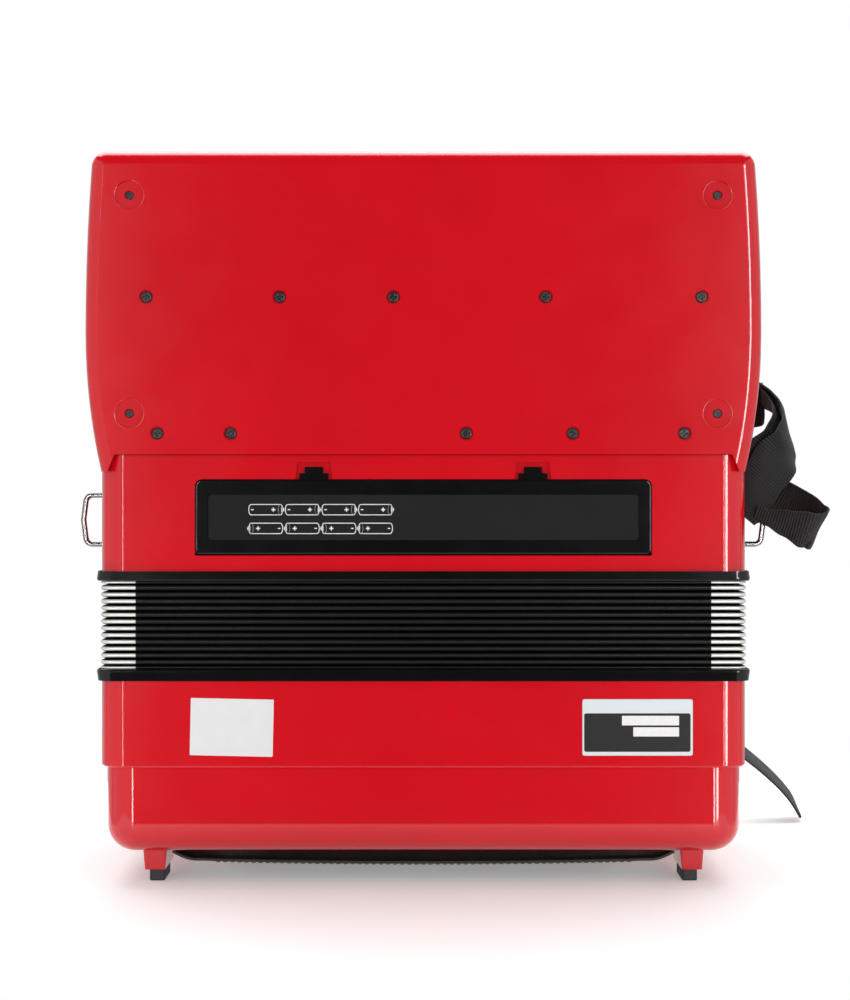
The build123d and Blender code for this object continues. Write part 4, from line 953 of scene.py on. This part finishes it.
def dish_lips():
    """The rounded lips round the dishes of the four corner screws."""
    face_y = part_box("keyboard_back_cover")[0].y
    largest = max(place[3] for place in seats)
    lip_r, section_r, sunk = 8.35 * MM, 0.34 * MM, 0.16 * MM
    around, section = 64, 8
    parts = []
    for x, _, z, radius in seats:
        if radius > DISH_SHARE * largest:
            continue
        vertices, faces = [], []
        for i in range(around):
            a = 2 * pi * i / around
            for j in range(section):
                b = 2 * pi * j / section
                reach = lip_r + section_r * cos(b)
                vertices.append((x + reach * cos(a), face_y + sunk + section_r * sin(b), z + reach * sin(a)))
        for i in range(around):
            for j in range(section):
                faces.append((i * section + j, i * section + (j + 1) % section,
                              (i + 1) % around * section + (j + 1) % section, (i + 1) % around * section + j))
        parts.append((vertices, faces))
    if parts:
        piece("dish_lips", *joined(parts), "red_lacquer", TREBLE)


dish_lips()


# ==================================================================== labels
def labels():
    """A silver rating plate with blank fields, and a blank paper label, on the bass case's back."""
    low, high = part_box("label_plates")
    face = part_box("bass_case")[0].y
    plate_w, plate_h, plate_t, plate_r = 62.5 * MM, 32 * MM, 0.42 * MM, 1.2 * MM
    field_t, blank_t, blank_r = 0.03 * MM, 0.02 * MM, 0.1 * MM
    paper_half_w, paper_half_h, paper_t, paper_r = 23.5 * MM, 16.2 * MM, 0.2 * MM, 0.5 * MM
    x, z, y = high.x - plate_w, (low.z + high.z) / 2 - plate_h / 2, face - plate_t
    silver = plate("rating_plate", (x, z), (high.x, z + plate_h), face, plate_t, plate_r,
                   "plate_silver", BASS)
    plate("rating_field", (x + 1.0 * MM, z + 2.2 * MM), (x + 61.2 * MM, z + 24.0 * MM), y, field_t, plate_r,
          "print_black", BASS)
    plate("rating_blank_1", (x + 22.4 * MM, z + 17.2 * MM), (x + 54.7 * MM, z + 22.6 * MM), y - field_t,
          blank_t, blank_r, "print_white", BASS, 1)
    plate("rating_blank_2", (x + 28.8 * MM, z + 10.9 * MM), (x + 54.7 * MM, z + 16.1 * MM), y - field_t,
          blank_t, blank_r, "print_white", BASS, 1)
    centre, tilt = (low.x + 23.8 * MM, 0, (low.z + high.z) / 2), radians(1.2)
    paper = plate("paper_label", (-paper_half_w, -paper_half_h), (paper_half_w, paper_half_h), face,
                  paper_t, paper_r, "label_paper", BASS)
    paper.data.transform(Matrix.Translation(centre) @ Matrix.Rotation(tilt, 4, "Y"))
    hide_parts("label_plates")
    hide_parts("label_plates")


labels()


# ==================================================================== straps
def smooth_stations(stations, steps):
    """Points, widths and ways across between the stations, on a smooth curve."""
    points = [Vector(s[0]) for s in stations]
    across = [Vector(s[1]).normalized() for s in stations]
    widths = [s[2] for s in stations]
    made = []
    last = len(stations) - 1
    for i in range(last):
        p0, p1, p2, p3 = points[max(i - 1, 0)], points[i], points[i + 1], points[min(i + 2, last)]
        for step in range(steps):
            t = step / steps
            place = 0.5 * ((2 * p1) + (p2 - p0) * t + (2 * p0 - 5 * p1 + 4 * p2 - p3) * t * t
                           + (3 * p1 - p0 - 3 * p2 + p3) * t ** 3)
            ease = t * t * (3 - 2 * t)
            made.append((place, across[i].lerp(across[i + 1], ease).normalized(),
                         widths[i] + (widths[i + 1] - widths[i]) * ease))
    made.append((points[-1], across[-1], widths[-1]))
    return made


def ribbon(name, stations, thickness, finish, body, steps=8, square=True):
    """A flat band along the stations (point, across, width), with its UV map in metres.

    square turns each way across until it is at right angles to the band.
    """
    line = smooth_stations(stations, steps)
    columns, thin_from, thinning, underside = 8, 0.8, 0.55, 0.1
    section = [(-1 + 2 * i / columns, 1) for i in range(columns + 1)]
    section += [(1 - 2 * i / columns, -1) for i in range(columns + 1)]
    vertices, uvs, length = [], [], 0.0
    for i, (place, across, width) in enumerate(line):
        if i:
            length += (place - line[i - 1][0]).length
        along = (line[min(i + 1, len(line) - 1)][0] - line[max(i - 1, 0)][0]).normalized()
        if square:
            across = (across - along * across.dot(along)).normalized()
        out = along.cross(across).normalized()
        for u, side in section:
            edge = 1 - thinning * max(0.0, abs(u) - thin_from) / (1 - thin_from)
            vertices.append(place + across * (u * width / 2) + out * (side * thickness / 2 * edge))
            uvs.append(((u + 1) / 2 * width + (0 if side > 0 else underside), length))
    around, count = len(section), len(line)
    faces = [(i * around + j, i * around + (j + 1) % around,
              (i + 1) * around + (j + 1) % around, (i + 1) * around + j)
             for i in range(count - 1) for j in range(around)]
    faces += [tuple(range(around)), tuple((count - 1) * around + j for j in range(around))]
    return harden(piece(name, vertices, faces, finish, body, uvs=uvs), 60)


def mm(*values):
    """Millimetres to metres."""
    return tuple(v * MM for v in values)


def shoulder_strap():
    """Webbing from the right bracket over the deck and grille to the floor.

    A second layer lies inside it beside the bracket, where a loose spare loop stands out. A station is
    its point, its way across and its width.
    """
    half_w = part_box("treble_case")[1].x / MM
    bracket_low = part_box("strap_brackets")[0]
    wire_z = bracket_low.z / MM + 2.4
    wire_front = (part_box("strap_brackets")[0].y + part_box("strap_brackets")[1].y) / 2 / MM - 1.6
    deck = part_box("treble_case")[1].z / MM
    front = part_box("treble_case")[1].y / MM
    web, thickness = 28 * MM, 2.2 * MM
    main = [
        (mm(half_w + 6.4, wire_front - 2.2, deck - 87), (0.77, 0, -0.64), 8 * MM),
        (mm(half_w + 8.4, wire_front - 3.4, deck - 80), (0.77, 0, -0.64), 15 * MM),
        (mm(half_w + 12, wire_front - 4.2, deck - 67), (0.78, 0, -0.63), 24 * MM),
        (mm(half_w + 20.7, wire_front - 4.6, deck - 52.8), (0.79, 0.05, -0.62), web),
        (mm(half_w + 28.6, wire_front + 1, deck - 42.2), (0.49, 0.63, -0.6), web),
        (mm(half_w + 30.2, wire_front + 11, deck - 30), (0.26, 0.88, -0.4), web),
        (mm(half_w + 28, wire_front + 21, deck - 19.8), (0.12, 0.97, -0.2), web),
        (mm(half_w + 24, -33, deck - 12), (0.1, 0.98, -0.1), web),
        (mm(half_w + 16, -29, deck - 4.4), (0.1, 1, 0), web),
        (mm(half_w + 8, -27, deck + 0.8), (0.1, 1, 0), web),
        (mm(half_w - 13, -26, deck + 2.4), (0.15, 1, 0), web),
        (mm(155, -22, deck + 2.4), (0.7, 0.7, 0), web)]
    drop, lift = 85.0, 2.15
    low = deck - drop
    for step in range(1, 10):
        angle = pi / 2 * (1 - step / 9)
        y, z = -10 + (front + 10 + lift) * cos(angle), low + (drop + lift) * sin(angle)
        main.append((mm(150, y, z), (1, 0, 0), web))
    main += [
        (mm(154, front + 8, low - 45), (1, 0.1, 0.1), web),
        (mm(165, front + 14, low - 90), (1, 0.4, 0.3), web),
        (mm(182, front + 22, low - 126), (0.8, 1.0, 0.5), web),
        (mm(203, front + 31, 59), (0.3, 1.0, 0.3), web),
        (mm(half_w + 37, front + 35, 45), (0.13, 0.98, 0.18), web),
        (mm(half_w + 53, front + 36, 31.5), (0.13, 0.98, 0.16), web),
        (mm(half_w + 67, front + 36.5, 16.5), (0.13, 0.98, 0.14), web),
        (mm(half_w + 74, front + 36.5, 3.6), (0.1, 0.98, 0.04), web)]
    webbing = ribbon("shoulder_webbing", main, thickness, "grosgrain", TREBLE, square=False)
    shifts = [(-6.5, 3.4, -1), (-6.5, 3.4, 0), (-6, 3.4, 1), (-3.2, 2.6, 1), (-2.8, 2.4, 0), (-4, 2, -2)]
    turns = [main[2][1], main[3][1], main[4][1], (0.42, 0.8, -0.42), (0.3, 0.9, -0.3), (0.2, 0.9, -0.35)]
    inner = [(tuple(p + d * MM for p, d in zip(station[0], shift)), across, station[2])
             for station, shift, across in zip(main[2:8], shifts, turns)]
    inner += [(mm(half_w + 20, -25, deck - 17), (0.1, 0.4, -0.9), web),
              (mm(half_w + 6, -15, deck - 18), (0.05, 0.2, -0.98), web)]
    fold = ribbon("shoulder_webbing_fold", inner, 1.6 * MM, "grosgrain", TREBLE, square=False)
    tilt = (0.2, -0.69, 0.7)
    loop = [
        (mm(half_w + 9.5, wire_front - 4.9, wire_z + 18.6), (0.5, -0.5, 0.7), 10 * MM),
        (mm(half_w + 17.4, wire_front - 6.4, wire_z + 15.6), (0.5, -0.5, 0.7), 11 * MM),
        (mm(half_w + 27.4, wire_front - 8.4, wire_z + 12.1), tilt, 20 * MM),
        (mm(half_w + 37.4, wire_front - 11.4, wire_z + 8.4), tilt, web),
        (mm(half_w + 44.2, wire_front - 9.4, wire_z + 8.6), tilt, web),
        (mm(half_w + 46.6, wire_front - 2.4, wire_z + 10.6), tilt, web),
        (mm(half_w + 43.4, wire_front + 5.6, wire_z + 16.6), tilt, web),
        (mm(half_w + 35.4, wire_front + 11.6, wire_z + 22.6), tilt, web),
        (mm(half_w + 26.4, wire_front + 13.6, wire_z + 27.6), tilt, web),
        (mm(half_w + 19.4, wire_front + 14, wire_z + 30.6), tilt, web),
        (mm(half_w + 13.4, wire_front + 12, wire_z + 32.6), tilt, web)]
    spare = ribbon("spare_loop", loop, 1.5 * MM, "grosgrain", TREBLE)
    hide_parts("shoulder_strap")
    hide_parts("shoulder_strap")
    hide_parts("shoulder_strap")


shoulder_strap()


def hand_strap():
    """The flat leather strap under the bass end, stitched along both edges."""
    low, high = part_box("hand_strap")
    middle_y, width = (low.y + high.y) / 2, high.y - low.y
    half, thickness = high.x, 3.2 * MM
    sag = 2.0 * MM
    end_z = low.z + sag

    def hang(x):
        """How far the band hangs down at x."""
        return sag * (1 - (x / (half - 9 * MM)) ** 2)

    stations = [((-half + 1.5 * MM, middle_y, high.z - 1 * MM), (0, 1, 0), width),
                ((-half + 5 * MM, middle_y, end_z + 4.2 * MM), (0, 1, 0), width),
                ((-half + 12 * MM, middle_y, end_z + 1.7 * MM), (0, 1, 0), width)]
    for i in range(-4, 5):
        x = i / 4 * (half - 22 * MM)
        stations.append(((x, middle_y, end_z + thickness / 2 - hang(x)), (0, 1, 0), width))
    stations += [((-p[0], p[1], p[2]), a, w) for (p, a, w) in reversed(stations[:3])]
    band = ribbon("hand_strap_leather", stations, thickness, "leather", BASS, steps=6)
    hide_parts("hand_strap")
    stitch = bpy.data.meshes.new("stitch")
    length, thick, around = 1.5 * MM, 0.32 * MM, 6
    rings = [(-length, 0.1), (-length * 0.7, 0.8), (0, 1.0), (length * 0.7, 0.8), (length, 0.1)]
    turns = [2 * pi * j / around for j in range(around)]
    vertices = [(x, thick * k * cos(a), thick * k * 0.8 * sin(a)) for x, k in rings for a in turns]
    last = len(rings) - 1
    faces = [(i * around + j, i * around + (j + 1) % around,
              (i + 1) * around + (j + 1) % around, (i + 1) * around + j)
             for i in range(last) for j in range(around)]
    faces += [tuple(range(around)), tuple(last * around + j for j in range(around))]
    stitch.from_pydata(vertices, [], faces)
    template = bpy.data.objects.new("stitch", stitch)
    bpy.context.scene.collection.objects.link(template)
    spacing, margin, proud = 4.1 * MM, 3.4 * MM, 0.05 * MM
    places = []
    for side in (-1, 1):
        for i in range(-29, 30):
            x = i * spacing
            places.append((x, middle_y + side * (width / 2 - margin), end_z - hang(x) - proud))
    copies_by_nodes("hand_strap_stitches", template, places, "thread", BASS)


hand_strap()

bpy.context.view_layer.update()
